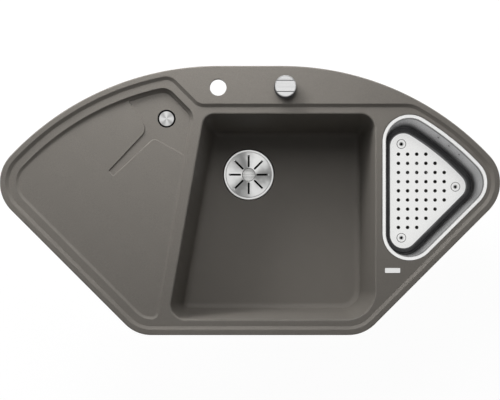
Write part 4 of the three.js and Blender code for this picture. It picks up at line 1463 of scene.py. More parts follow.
@dataclass
class Colander:
    """The lift-out colander of steel sheet, with its perforated floor and three feet."""

    floor: float = -117.0
    sheet: float = 1.2
    rim: float = 8.0
    seat: float = 1.1
    rim_top: float = 2.8
    fillet: float = 14.0
    hole: float = 3.9
    pitch: float = 20.0
    rows: tuple[int, ...] = (4, 5, 6, 6, 6, 6, 5, 4, 3)
    first: Spot = (324.2, 107.6)
    feet: tuple[tuple[str, float, float], ...] = (
        ("back", 330.6, 129.7), ("side", 448.6, 36.3), ("front", 330.6, -75.1))
    pips: tuple[float, ...] = (53.5, 50.6, 47.7)
    pip_depth: float = 36.0
    pip_face: float = 4.0
    middle: Spot = (355.0, 30.0)

    def _inside(self, grow: float, steps: int = 12) -> list[Spot]:
        """The wall's profile, for its inside or, grown by the sheet, for its outside.

        Args:
            grow: How far outside the inner face it runs.
            steps: How finely the fillet is cut.

        Returns:
            Pairs of an inset and a height, from the floor up.
        """
        foot = self.rim + 6
        return [*rounding(foot + self.fillet, self.floor + self.fillet, self.fillet + grow, 270,
                          184, steps),
                *rounding(self.rim - 1.6, self.rim_top - 1.6, 1.6 - grow, 0, 84, 6)]

    def pip_spots(self) -> list[Vector]:
        """The middles of the three raised marks on the wall."""
        wall = PLAN.bow(1, PLAN.small_inset + self.rim + 6 * self.pip_depth / -self.floor)
        reach = wall.radius + 0.9
        return [Vector((wall.cx + reach * math.cos(math.radians(turn)),
                        wall.cy + reach * math.sin(math.radians(turn)), -self.pip_depth))
                for turn in self.pips]

    def basket(self) -> Solid:
        """The sheet with its turned-out rim and its holes.

        Returns:
            The sheet with its three marks.
        """
        region = PLAN.small_bowl()
        outside = Solid.lofted(region, [
            *self._inside(self.sheet), (4, self.seat), (0.9, self.seat), (0.3, self.seat + 0.2),
            (0, self.seat + 0.7), (0.1, self.rim_top - 0.5), (0.4, self.rim_top - 0.15),
            (0.9, self.rim_top)])
        inside = Solid.lofted(region, [*self._inside(0), (self.rim - 1.6, self.rim_top + 4)])
        low, high = self.floor - 4, self.floor + 3
        rods = [Solid.rod(self.hole, low, high, 20).moved(self.first[0] + self.pitch * i,
                                                          self.first[1] - self.pitch * row)
                for row, count in enumerate(self.rows) for i in range(count)]
        rods += [Solid.rod(8, low, high, 32).moved(x, y) for _, x, y in self.feet]
        pips = [Solid.turned([(0, -2.4), (1.6, -1.8), (2.4, 0), (1.6, 1.8), (0, 2.4)], 24).moved(
            *spot) for spot in self.pip_spots()]
        return outside.cut(inside, rods[0].gathered(*rods[1:])).add(*pips)

    def foot(self) -> Solid:
        """A plastic foot that grips the floor's edge in its waist, with a hole down the middle."""
        low, high = self.floor - self.sheet, self.floor
        return Solid.turned([
            (3, high + 0.4), (9.3, high + 0.4), (10, high + GAP), (7.6, high + GAP),
            (7.6, low - GAP), (10.2, low - GAP), (10.5, low - 0.8), (10.5, low - 5.6),
            (10, low - 7), (9, low - 8), (3.8, low - 8), (3, low - 7.2), (3, high + 0.4)], 48)

    def cap(self) -> Solid:
        """The thin steel cap on a foot, dished round its hole."""
        z = self.floor
        return Solid.turned([(3.1, z + 0.45), (9.1, z + 0.45), (9.3, z + 0.7), (9.2, z + 0.95),
                             (8.9, z + 1.05), (5.2, z + 1.05), (4.4, z + 0.9), (3.5, z + 0.5),
                             (3.1, z + 0.45)], 48)

    def ring(self) -> Solid:
        """A black rubber ring round a foot's cap, which draws the shaded gap round the cap as a
        dark line: painted shade.
        """
        z = self.floor
        return Solid.turned([(9.35, z + 0.42), (10.2, z + 0.32), (10.25, z + 0.7), (10, z + 0.95),
                             (9.5, z + 0.9), (9.35, z + 0.42)], 48)

    def build(self) -> None:
        """Makes the colander and its feet."""
        basket = Ticket("colander_basket", "colander", Slot.STEEL, ("colander",), SHEET
                        ).piece(self.basket())
        # The walls get steel painted darker than the floor's, with painted shade in the round of
        # their foot; the three marks and the edges of the holes get near-black steel, painted
        # shade.
        for finish in (PLATE, RIM, DrawnSteelPaintedShade("steel_drawn_painted_shade", self.floor, 2.0), PAINTED_SHADE_STEEL):
            basket.data.materials.append(FINISHES.of(finish))
        plate, rim, wall, dark = range(1, 5)
        middle, spots = Vector(self.middle) * MM, self.pip_spots()
        for face in basket.data.polygons:
            # the three raised marks are painted near black: painted shade
            height = face.center.z / MM
            marked = face.area < self.pip_face * MM ** 2 and any(
                (face.center / MM - spot).length < 3 for spot in spots)
            inwards = (middle - face.center.xy).dot(face.normal.xy) > 0
            if marked:
                face.material_index = dark
            elif height > self.rim_top - 0.8 and face.normal.z > 0.5:
                face.material_index = rim
            elif face.normal.z > 0.999 and height < self.floor + 0.5:
                face.material_index = plate
            elif inwards and face.normal.z > 0.01 and height > self.floor:
                face.material_index = wall
            # the edges of the holes: near-black painted shade
            elif abs(face.normal.z) < 0.01 and self.floor - self.sheet < height < self.floor:
                face.material_index = dark
        for name, x, y in self.feet:
            parts = ((f"colander_pad_{name}", Slot.WHITE, (f"colander_foot_{name}",), None,
                      self.foot()),
                     (f"colander_cap_{name}", Slot.STEEL, (), PLATE, self.cap()),
                     (f"colander_shade_ring_{name}", Slot.RUBBER, (), None, self.ring()))
            for label, slot, nodes, finish, solid in parts:
                Ticket(label, "colander", slot, nodes, finish).piece(solid.moved(x, y))


# ---- the main waste


@dataclass
class MainWaste:
    """The main bowl's waste: a steel flange, and the strainer that a pin lifts."""

    slots: int = 8
    slot_start: float = 17.0
    slot_end: float = 46.2
    slot_half: float = 2.2
    outlet_level: float = -53.0
    outlet_reach: float = 72.0
    inlet_level: float = -50.0
    inlet_reach: float = 74.0
    inlet_turn: float = 148.6

    def _place(self, solid: Solid) -> Solid:
        """Moves a solid from the waste's own origin into the bowl."""
        return solid.moved(WASTE.x, WASTE.y, BOWL_FLOOR)

    def flange(self) -> Solid:
        """The steel flange with its throat and the lip on which the strainer's seal rests."""
        return self._place(Solid.turned([
            (50.9, 0), (51.3, 0.5), (52.2, 0.8), (54.6, 0.85), (55.6, 0.6), (56.3, 0), (56.3, -3.6),
            (44.6, -3.6), (44.6, -40), (43, -40), (43, -28.5), (34, -28.5), (34, -26.5),
            (43, -26.5), (43, -4.2), (43.6, -2.9), (45, -2.5), (51, -2.5), (50.9, 0)], 128))

    def plate(self) -> Solid:
        """The dished and slotted strainer plate.

        Returns:
            The plate.
        """
        top = eased([(50.4, -0.5), (50.1, 0.0), (49.4, 0.1), (44, -0.5), (38, -1.1), (26, -2.4),
                     (14, -3.7), (5.2, -4.4)], 3)
        under = [(5.2, -6.1), (14, -6.0), (38, -4.2), (42.6, -2.0), (50, -1.9), (50.4, -1.4)]
        disc = Solid.turned([*top, *under, top[0]], 128)
        half, start, end = self.slot_half, self.slot_start, self.slot_end
        cutters = []
        for i in range(self.slots):
            turn = 360 * i / self.slots
            bar = Solid.block((start + half, -half, -12), (end - half, half, 4))
            ends = [Solid.rod(half, -12, 4, 20).moved(x) for x in (start + half, end - half)]
            cutters.append(bar.add(*ends).moved(turn=turn))
        return self._place(disc.cut(*cutters))

    def button(self) -> Solid:
        """The domed button in the middle of the plate."""
        dome = eased([(15.2, -3.9), (15.1, -3.3), (14.5, -2.9), (13.4, -2.6), (9, -1.9),
                      (5, -1.5), (0, -1.4)], 3)
        return self._place(Solid.turned([(0, -11.5), (4.9, -11.5), (4.9, -4.1), (14.9, -4.1),
                                         *dome], 80))

    def cup(self) -> Solid:
        """The cup that hangs under the plate, with a ring of windows in its wall."""
        cup = Solid.turned(softened([
            (0, -29), (33, -29), (33, -23.9), (41, -23.9), (41, -6.6), (38.5, -6.6), (38.5, -22),
            (9, -22), (9, -6.8), (5.2, -6.8), (5.2, -12), (0, -12)], 0.8), 96)
        windows = Solid.spokes((34, -5.5, -20), (44, 5.5, -10), range(0, 360, 30))
        return self._place(cup.cut(windows[0].gathered(*windows[1:])))

    def pot(self) -> Solid:
        """The ribbed pot below the bowl, with its outlet, its inlet and the pin's boss.

        Returns:
            The pot.
        """
        pot = Solid.turned(softened([(0, -78), (38.8, -78), (47.5, -69.4), (47.5, -33.5),
                                     (48.8, -32), (48.8, -25.3), (0, -25.3)], 1.6, 4), 96)
        ribs = Solid.spokes((38, -0.9, -66), (48.7, 0.9, -30), range(15, 375, 30))
        out, back = self.outlet_reach, self.inlet_reach
        outlet = Solid.turned([(0, 30), (22, 30), *thread(22, 53, 71.6, 2.6, 0.9), (21, out),
                               (0, out)], 64).moved(z=self.outlet_level, axis=Axis.X)
        inlet = Solid.turned([(0, 30), (11, 30), *thread(11, 55, 73.6, 2.0, 0.6), (10.4, back),
                              (0, back)], 48).moved(z=self.inlet_level, turn=self.inlet_turn,
                                                    axis=Axis.X)
        boss = Solid.turned(softened([(0, -86), (11, -86), (11, -74), (0, -74)], 1.0), 48)
        collars = [Solid.turned(softened([(0, 40), (r, 40), (r, end), (0, end)], 1.0), 64).moved(
            z=z, turn=turn, axis=Axis.X)
            for r, end, z, turn in ((25.2, 52, self.outlet_level, 0),
                                    (13.5, 52, self.inlet_level, self.inlet_turn))]
        inside = Solid.turned([(0, -75), (38, -75), (45.7, -69), (45.7, -20), (0, -20)], 96)
        bores = [Solid.rod(17, 36, 80).moved(z=self.outlet_level, axis=Axis.X),
                 Solid.rod(8.5, 36, 80).moved(z=self.inlet_level, turn=self.inlet_turn,
                                              axis=Axis.X), Solid.rod(6.3, -90, -70)]
        return self._place(pot.add(ribs[0].gathered(*ribs[1:]), outlet, inlet, boss, *collars
                                   ).cut(inside, *bores))

    def sleeve(self) -> Solid:
        """The flanged sleeve that guides the pin."""
        return self._place(Solid.turned(softened([
            (4.4, -38), (4.4, -92), (6, -92), (6, -90.5), (10, -90.5), (10, -86.3), (6, -86.3),
            (6, -38), (4.4, -38)], 0.5), 48))

    def pin(self) -> Solid:
        """The pin that lifts the strainer, with a groove for the cable's clip."""
        return self._place(Solid.turned(softened([
            (0, -68), (4, -68), (4, -64), (3.1, -63.6), (3.1, -61.9), (4, -61.5), (4, -29.3),
            (0, -29.3)], 0.5), 40))

    def below(self) -> None:
        """Makes what lies under the plate and under the bowl."""
        # the cup is painted near black: painted shade seen through the slots
        Ticket("strainer_basket", "strainer", Slot.GREY, ("strainer_cup",), SHADED_GREY).piece(
            self.cup())
        Ticket("strainer_gasket", "strainer", Slot.RUBBER, ("strainer_seal",)).piece(
            self._place(Solid.washer(33.3, 41.4, -26.2, -24.2)))
        Ticket("waste_gasket_upper", "sink", Slot.RUBBER, ("waste_seal_upper",)).piece(
            self._place(Solid.washer(46.5, 56, -4.7, -3.9)))
        Ticket("waste_gasket_lower", "sink", Slot.RUBBER, ("waste_seal_lower",)).piece(
            self._place(Solid.washer(45.2, 58, -16.3, -14.3)))
        Ticket("waste_backnut", "sink", Slot.GREY, ("waste_ring_nut",)).piece(
            self._place(Solid.fluted(45.1, 57, -24.6, -16.6, 12)))
        Ticket("waste_pot", "sink", Slot.GREY, ("waste_body",)).piece(self.pot())
        Ticket("pin_sleeve", "sink", Slot.BLACK, ("lift_guide",)).piece(self.sleeve())
        Ticket("push_pin", "lift_pin", Slot.ZINC, ("lift_pin",)).piece(self.pin())

    def build(self) -> None:
        """Makes the flange, the plate, the button and all that lies below them."""
        centre = (WASTE.x, WASTE.y)
        bright = (0.9, 0.9, 0.89)
        Ticket("waste_rim", "sink", Slot.STEEL, ("waste_flange",),
               SpunSteelPaintedRays("spun_rim_painted_rays", centre, dark=0.85, colour=bright)).piece(self.flange())
        disc = Ticket("strainer_disc", "strainer", Slot.STEEL, ("strainer_plate",),
                      SpunSteelPaintedRays("spun_disc_painted_rays", centre, dark=0.3, colour=bright)
                      ).piece(self.plate())
        # the walls of the slots get near-black steel: painted shade in the slots
        disc.data.materials.append(FINISHES.of(PAINTED_SHADE_STEEL))
        for face in disc.data.polygons:
            reach = (face.center.xy / MM - Vector(centre)).length
            if abs(face.normal.z) < 0.1 and self.slot_start < reach < self.slot_end:
                face.material_index = 1
        Ticket("strainer_dome", "strainer", Slot.STEEL, ("strainer_button",),
               Steel("brushed_dome", (0.66, 0.66, 0.65), 0.26, (25.0, 240.0, 25.0), 0.4)
               ).piece(self.button())
        self.below()


# ---- the knob


@dataclass
class Knob:
    """The rotary knob on the tap ledge, its collar and its two finger grooves."""

    groove: float = 11.6
    groove_half: float = 0.9
    groove_floor: float = 29.0
    cable_side: float = 8.0
    cable_top: float = -80.3
    cable_foot: float = -297.6
    cable_radius: float = 2.4
    cable_run: tuple[tuple[float, float, float], ...] = (
        (0, 0, 0), (0, 0, -16), (0, -4, -100), (-6, -22, -180), (-28, -62, -242),
        (-56, -112, -272), (-77, -149, -266))

    def cap(self) -> Solid:
        """The solid metal cap with two grooves across its top.

        Returns:
            The cap.
        """
        edge = eased([(21.2, 13.2), (21.9, 14.4), (22.35, 21), (22.6, 28.6), (22.3, 29.9),
                      (21.3, 30.8), (19.5, 31)], 3)
        head = Solid.turned([(0, 13), (20.5, 13), *edge, (0, 31)], 96)
        cuts = [Solid.block((-30, y - self.groove_half, self.groove_floor),
                            (30, y + self.groove_half, 33)) for y in (-self.groove, self.groove)]
        return head.cut(*cuts, Solid.rod(5.3, 8, 22, 32)).moved(KNOB.x, KNOB.y)

    def collar(self) -> Solid:
        """The dark collar on the ledge, with the threaded sleeve that goes through it."""
        return Solid.turned([
            (12.4, 11.4), (21.6, 11.4), (22.8, 11.1), (23.5, 10.4), (23.6, 9.2), (23.4, 8.8),
            (16.8, 8.8), *thread(16.8, -6, -36, 1.5, 0.5), (16.8, -37.4), (16.2, -38),
            (12.4, -38), (12.4, 11.4)], 72).moved(KNOB.x, KNOB.y)

    def locknut(self) -> Solid:
        """The six-sided nut that holds the collar from below."""
        turn = math.radians(60)
        return Solid.prism(lambda t: 22 / math.cos(t % turn - turn / 2), 96, -11, -3.3, 1.0).cut(
            Solid.turned([(0, -12), (18, -12), (18, -11), (17.1, -10), (17.1, -4.3), (18, -3.3),
                          (18, -2), (0, -2)], 64)).moved(KNOB.x, KNOB.y)

    def housing(self) -> Solid:
        """The ribbed housing of the cable's drum."""
        shell = Solid.turned(softened([
            (0, -66), (16, -66), (17.6, -64.2), (17.6, -43.5), (18.5, -42.5), (18.5, -38.3),
            (13, -38.3), (13, -61), (0, -61)], 0.9), 72)
        ribs = Solid.spokes((14.5, -0.8, -63.5), (18.4, 0.8, -41), range(0, 360, 24))
        return shell.add(ribs[0].gathered(*ribs[1:])).cut(
            Solid.rod(2, -70, -58, 24).moved(self.cable_side)).moved(KNOB.x, KNOB.y)

    def ferrule(self, radius: float, low: float, high: float) -> Solid:
        """A grooved metal end of the cable.

        Args:
            radius: Its radius.
            low: The height of its foot.
            high: The height of its top.

        Returns:
            The metal end.
        """
        return Solid.turned([
            (0, low), (radius - 0.8, low), (radius, low + 0.8), (radius, low + 3),
            *thread(radius, low + 3, low + 9, 1.5, 0.6), (radius, low + 9.2),
            (radius, high - 0.6), (radius - 0.6, high), (0, high)], 40)

    def cable(self) -> Solid:
        """The cable that runs from the drum to the pin.

        Returns:
            The cable.
        """
        x, y, top, foot = KNOB.x + self.cable_side, KNOB.y, self.cable_top, self.cable_foot
        run = [(x + a, y + b, top + c) for a, b, c in self.cable_run]
        spots = curved([*run, (WASTE.x, WASTE.y, foot - 14), (WASTE.x, WASTE.y, foot)], 9)
        return Solid.led(spots, [self.cable_radius] * len(spots), 24)

    def below(self) -> None:
        """Makes what lies under the tap ledge."""
        Ticket("collar_nut", "sink", Slot.BLACK, ("knob_locknut",)).piece(self.locknut())
        Ticket("drum_case", "sink", Slot.BLACK, ("drum_housing",)).piece(self.housing())
        Ticket("cable_end_top", "sink", Slot.ZINC, ("cable_ferrule_top",)).piece(
            self.ferrule(4.2, -80, -66.3).moved(KNOB.x + self.cable_side, KNOB.y))
        Ticket("cable_end_bottom", "sink", Slot.ZINC, ("cable_ferrule_bottom",)).piece(
            self.ferrule(4.8, -297.3, -282.3).moved(WASTE.x, WASTE.y))
        Ticket("pull_cable", "sink", Slot.BLACK, ("bowden_cable",)).piece(self.cable())

    def build(self) -> None:
        """Makes the cap, the collar and the cable with what holds it."""
        cap = Ticket("knob_cap", "knob", Slot.CHROME, ("control_knob",),
                     Steel("satin_cap", (0.74, 0.74, 0.74), 0.24, (9.0, 200.0, 9.0), 0.16)
                     ).piece(self.cap())
        # The grooves and the cap's side get darker copies of the cap's metal: painted shade.
        for finish in (Plated("groove_painted_shade", (0.22, 0.22, 0.22), 0.4),
                       Plated("cap_side_painted_shade", (0.14, 0.14, 0.145), 0.3)):
            cap.data.materials.append(FINISHES.of(finish))
        groove, side = 1, 2
        for face in cap.data.polygons:
            height = face.center.z / MM
            if self.groove_floor - 0.1 < height < 30.95 and abs(face.normal.y) > 0.99:
                face.material_index = groove
            elif abs(height - self.groove_floor) < 0.1:
                face.material_index = groove
            elif height < 29.5:
                face.material_index = side
        Ticket("knob_collar", "sink", Slot.DARK_METAL, ("knob_base",)).piece(self.collar())
        self.below()


# ---- the drainer's overflow


@dataclass
class DrainOverflow:
    """The overflow of the drainer: a dished steel cap in a black ring."""

    level: float = Moulding.spout.at(OVERFLOW.x, OVERFLOW.y)
    hose_top: float = -70.3
    hose_level: float = -240.0
    drop: float = 109.7
    bend: float = 60.0
    reach: float = 202.7
    length: float = 272.4
    ribs: int = 44
    crest: float = 12.5
    root: float = 11.0
    bore: float = 9.1
    plain: float = 25.0
    nut_bore: float = 11.4
    nut_radius: float = 15.5

    def cap(self) -> Solid:
        """The dished cap on its stem."""
        s = self.level
        top = eased([(15.7, s - 0.6), (15.6, s + 0.1), (15.1, s + 0.55), (14.2, s + 0.6),
                     (9, s + 0.05), (4, s - 0.25), (0, s - 0.3)], 3)
        return Solid.turned([(0, s - 1.8), (5.6, s - 1.8), (5.6, -19), (6.9, -19),
                             (6.9, s - 1.6), (15.4, s - 1), *top], 80
                            ).moved(OVERFLOW.x, OVERFLOW.y)

    def ring(self) -> Solid:
        """The black seat with its cross of spokes and the hub that takes the screw.

        Returns:
            The seat.
        """
        s = self.level
        wall = Solid.turned([(16.6, -24), (18.7, -24), (18.7, s - 0.2), (18.4, s + 0.2),
                             (16.9, s + 0.2), (16.6, s - 0.2), (16.6, -24)], 80)
        spokes = Solid.spokes((-18, -1.5, -24), (18, 1.5, -19.4), (0, 90))
        hub = Solid.rod(5.3, -24, -14.5, 40)
        return wall.add(*spokes, hub).cut(Solid.rod(2.5, -30, -10, 24)
                                          ).moved(OVERFLOW.x, OVERFLOW.y)

    def elbow(self) -> Solid:
        """The funnel below the overflow, with its cross of ribs, its post and its thread."""
        funnel = Solid.turned(softened([
            (8.5, -70), (10.5, -70), *thread(11, -69.5, -56, 2.0, 0.6), (11, -50), (23, -42),
            (23, -29), (28, -27.6), (28, -24.1), (20, -24.1), (20, -40.5), (8.5, -48), (8.5, -70)],
            0.6, 2), 72)
        ribs = Solid.spokes((-21, -1.2, -39), (21, 1.2, -30), (45, 135))
        return funnel.add(*ribs, Solid.rod(5, -39, -24.4, 32)).cut(
            Solid.rod(2.5, -45, -20, 24)).moved(OVERFLOW.x, OVERFLOW.y)

    def route(self, s: float) -> tuple[Vector, Vector, Vector]:
        """The hose's run: down, round a quarter bend and across to the pot.

        Args:
            s: The distance along the hose from its upper end.

        Returns:
            The point, and the two directions across the hose there.
        """
        angle = math.radians(MainWaste.inlet_turn)
        out = Vector((math.cos(angle), math.sin(angle), 0))
        quarter = self.bend * math.pi / 2
        turn = min(max((s - self.drop) / self.bend, 0), math.pi / 2)
        along = self.reach - self.bend * (1 - math.cos(turn)) - max(s - self.drop - quarter, 0)
        fall = self.hose_level + self.bend * (1 - math.sin(turn)) if turn else self.hose_top - s
        spot = Vector((WASTE.x, WASTE.y, fall)) + out * along
        forward = -out * math.sin(turn) - Vector((0, 0, math.cos(turn)))
        side = Vector((-out.y, out.x, 0))
        return spot, side, forward.cross(side)

    def hose(self) -> Solid:
        """The ribbed hose with its two plain ends.

        Returns:
            The hose.
        """
        crest, root, plain = self.crest, self.root, self.plain
        pitch = (self.length - 2 * plain) / self.ribs
        wave = ((0.0, root), (0.12, root), (0.3, crest - 0.25), (0.42, crest), (0.58, crest),
                (0.7, crest - 0.25), (0.88, root))
        outside = [(0.0, root), *((plain + (k + part) * pitch, radius)
                                  for k in range(self.ribs) for part, radius in wave),
                   (self.length - plain, root), (self.length, root)]
        inside = [(self.length * k / 40, self.bore) for k in range(40, -1, -1)]
        return Solid.swept([(*self.route(s), radius) for s, radius in [*outside, *inside]], 32,
                           True)

    def below(self) -> None:
        """Makes what lies under the drainer."""
        turn, away = math.radians(MainWaste.inlet_turn), MainWaste.inlet_reach
        low_nut = Solid.fluted(self.nut_bore, self.nut_radius, -8, 8).moved(
            WASTE.x + away * math.cos(turn), WASTE.y + away * math.sin(turn), self.hose_level,
            MainWaste.inlet_turn, Axis.X)
        Ticket("overflow_gasket", "sink", Slot.RUBBER, ("overflow_seal",)).piece(
            Solid.washer(19.6, 28, -23.8, -22.3, 0.5, 72).moved(OVERFLOW.x, OVERFLOW.y))
        Ticket("overflow_funnel", "sink", Slot.BLACK, ("overflow_elbow",)).piece(self.elbow())
        Ticket("ribbed_hose", "sink", Slot.GREY, ("overflow_hose",)).piece(self.hose())
        Ticket("hose_nut_high", "sink", Slot.BLACK, ("hose_nut_top",)).piece(
            Solid.fluted(self.nut_bore, self.nut_radius, -78, -62).moved(OVERFLOW.x, OVERFLOW.y))
        Ticket("hose_nut_low", "sink", Slot.BLACK, ("hose_nut_bottom",)).piece(low_nut)

    def build(self) -> None:
        """Makes the cap, its ring and the hose with what holds it."""
        Ticket("overflow_disc", "sink", Slot.STEEL, ("overflow_cap",),
               SpunSteelPaintedRays("spun_cap_painted_rays", (OVERFLOW.x, OVERFLOW.y), 4, 0.0, 0.62)).piece(self.cap())
        Ticket("overflow_ring", "sink", Slot.BLACK, ("overflow_seat",), MATT_BLACK
               ).piece(self.ring())
        self.below()


# ---- the small bowl's waste


@dataclass
class SmallWaste:
    """The small bowl's waste: a dished grille with its screw, and the body below it."""

    tail: float = -60.0

    def _place(self, solid: Solid) -> Solid:
        """Moves a solid from the waste's own origin into the small bowl."""
        return solid.moved(SMALL_WASTE.x, SMALL_WASTE.y, SMALL_FLOOR)

    def grille(self) -> Solid:
        """The dished steel grille with a ring of holes.

        Returns:
            The grille.
        """
        top = eased([(0, -3.1), (10, -3.0), (20, -2.6), (28, -0.9), (32.6, 0.35), (34.1, 0.35),
                     (34.9, -0.1), (35, -0.8)], 3)
        under = [(34.7, -1.2), (25.5, -1.6), (25.3, -7.6), (24.5, -8), (21, -4.6), (0, -4.8)]
        holes = [Solid.rod(3.2, -10, 2, 28).moved(14 * math.cos(t), 14 * math.sin(t))
                 for t in (math.pi * k / 4 for k in range(8))]
        return self._place(Solid.turned([*top, *under], 96).cut(
            holes[0].gathered(*holes[1:]), Solid.rod(3.4, -10, 2, 32)))

    def screw(self) -> Solid:
        """The screw that pulls the grille down, with a cross recess in its head.

        Returns:
            The screw.
        """
        shank = [(0, -40), (2.4, -40), *thread(3, -39.4, -12, 1.5, 0.4), (3, -11), (3, -2.9)]
        head = [(6.2, -2.9), (6.1, -2.4), (5.4, -1.6), (3, -1.1), (0, -1)]
        recess = Solid.spokes((-3.2, -0.6, -2.4), (3.2, 0.6, 0), (0, 90))
        return self._place(Solid.turned([*shank, *head], 40).cut(*recess))

    def body(self) -> Solid:
        """The funnel under the bowl, with the cross and the post that take the screw.

        Returns:
            The funnel.
        """
        funnel = Solid.turned(softened([
            (17, -60), (19.4, -60), *thread(20, -59.4, -48.5, 2.2, 0.8), (20, -46), (27.8, -37),
            (27.8, -19), (29, -18.2), (29, -15.3), (34, -14.8), (34, -11.3), (26, -11.3), (26, -35),
            (17, -44), (17, -60)], 0.7, 2), 72)
        fins = Solid.spokes((24, -0.8, -36), (29, 0.8, -15.5), range(0, 360, 45))
        cross = Solid.spokes((-27, -1.3, -34), (27, 1.3, -24), (0, 90))
        inside = Solid.turned([(0, -35.2), (16.8, -44), (16.8, -70), (0, -70)], 64)
        return self._place(funnel.add(fins[0].gathered(*fins[1:])).cut(
            Solid.turned([(0, -44), (17, -44), (26, -35), (26, -11), (0, -11)], 72), inside).add(
            *cross, Solid.rod(6, -42, -14, 40)).cut(Solid.rod(3.3, -50, -10, 28)))

    def build(self) -> None:
        """Makes the grille, its screw, the seal and the body."""
        centre = (SMALL_WASTE.x, SMALL_WASTE.y)
        Ticket("small_grille", "sink", Slot.STEEL, ("small_waste_grille",),
               SpunSteelPaintedRays("spun_grille_painted_rays", centre, 3, 60.0, 0.7, 0.34, (0.5, 0.5, 0.5))
               ).piece(self.grille())
        Ticket("small_screw", "sink", Slot.STEEL, ("small_waste_screw",)).piece(self.screw())
        Ticket("small_gasket", "sink", Slot.RUBBER, ("small_waste_seal",)).piece(
            self._place(Solid.washer(26.6, 34, -11, -9.3, 0.6, 72)))
        Ticket("small_funnel", "sink", Slot.GREY, ("small_waste_body",)).piece(self.body())


# ---- the pipework


@dataclass
class Pipework:
    """The pipes that join both wastes to the tee, whose lower end takes the trap."""

    level: float = -243.0
    bore: float = 17.0
    pipe: float = 20.6
    collar: float = 22.0
    bend: float = 26.0
    tee_x: float = 165.0
    tee_half: float = 42.0
    elbow_x: float = 310.0
    bent: float = 18.9

    def _along(self, solid: Solid) -> Solid:
        """Lays an upright solid along the pipes' line."""
        return solid.moved(0, WASTE.y, self.level, axis=Axis.X)

    def branch(self, start: float, end: float) -> Solid:
        """A straight pipe with a raised collar at each end.

        Args:
            start: The x of its first end.
            end: The x of its other end.

        Returns:
            The pipe.
        """
        c, p = self.collar, self.pipe
        return self._along(Solid.turned(softened([
            (self.bore, start), (c, start), (c, start + 11.5), (p, start + 13), (p, end - 13),
            (c, end - 11.5), (c, end), (self.bore, end), (self.bore, start)], 0.8), 64))

    def tee(self) -> Solid:
        """The tee, threaded at both sides, with a socket and a threaded lower end.

        Returns:
            The tee.
        """
        x, half, r = self.tee_x, self.tee_half, self.collar
        across = self._along(Solid.turned([
            (0, x - half), (r - 1, x - half), *thread(r, x - half + 0.6, x - 27, 2.6, 0.9),
            (r, x - 26), (20.8, x - 25), (20.8, x + 25), (r, x + 26),
            *thread(r, x + 27, x + half - 0.6, 2.6, 0.9), (r - 1, x + half), (0, x + half)], 64))
        down = Solid.turned([
            (0, -301), (r - 1, -301), *thread(r, -300.4, -283, 2.6, 0.9), (r, -280.5),
            (22.4, -279.4), (24.2, -279), (25, -278.2), (25, -268), (24, -267), (20.8, -264),
            (20.8, self.level), (0, self.level)], 64).moved(x, WASTE.y)
        webs = [Solid.block((x - 24, WASTE.y - 1.3, -272), (x + 24, WASTE.y + 1.3, self.level)),
                Solid.block((x - 1.3, WASTE.y - 23.5, -272), (x + 1.3, WASTE.y + 23.5, -262))]
        return across.add(down, *webs).cut(
            self._along(Solid.rod(self.bore, x - half - 5, x + half + 5, 64)),
            Solid.rod(self.bore, -305, self.level, 64).moved(x, WASTE.y))

    def elbow(self) -> Solid:
        """The bent pipe from the small bowl's waste to its branch.

        Returns:
            The bent pipe.
        """
        x, y = SMALL_WASTE.x, WASTE.y
        turns = [math.pi / 2 * k / 16 for k in range(17)]
        top = SMALL_FLOOR + SmallWaste.tail - GAP
        start = self.level + self.bend
        spots = [Vector((x, y, z)) for z in (top, top - 0.6, top - 11, top - 12.5, start + 1)]
        spots += [Vector((x - self.bend * (1 - math.cos(t)), y,
                          self.level + self.bend * (1 - math.sin(t)))) for t in turns]
        radii = [19.4, 20.0, 20.0, *([self.bent] * (2 + len(turns)))]
        spots += [Vector((self.elbow_x + reach, y, self.level)) for reach in (12.5, 11, 0.6, 0)]
        radii += [self.bent, 20.0, 20.0, 19.4]
        return Solid.led(spots, radii, 48, self.bore)

    def build(self) -> None:
        """Makes the pipes, the tee, the elbow and the union nuts."""
        spigot = WASTE.x + MainWaste.outlet_reach
        left, right = self.tee_x - self.tee_half, self.tee_x + self.tee_half
        Ticket("waste_tee", "sink", Slot.GREY, ("outlet_tee",)).piece(self.tee())
        Ticket("main_pipe", "sink", Slot.GREY, ("main_branch_pipe",)).piece(
            self.branch(spigot + GAP, left - GAP))
        Ticket("small_pipe", "sink", Slot.GREY, ("small_branch_pipe",)).piece(
            self.branch(right + GAP, self.elbow_x - GAP))
        Ticket("bent_pipe", "sink", Slot.GREY, ("small_elbow",)).piece(self.elbow())
        for name, x in (("main", spigot), ("tee_left", left), ("tee_right", right),
                        ("elbow_side", self.elbow_x)):
            Ticket(f"pipe_nut_{name}", "sink", Slot.BLACK, (f"union_nut_{name}",)).piece(
                self._along(Solid.fluted(22.4, 29, -9, 9).moved(z=x)))
        low = SMALL_FLOOR + SmallWaste.tail - 8
        Ticket("pipe_nut_elbow_top", "sink", Slot.BLACK, ("union_nut_elbow_top",)).piece(
            Solid.fluted(20.3, 27, low, low + 16).moved(SMALL_WASTE.x, SMALL_WASTE.y))


# ---- the rim clamps


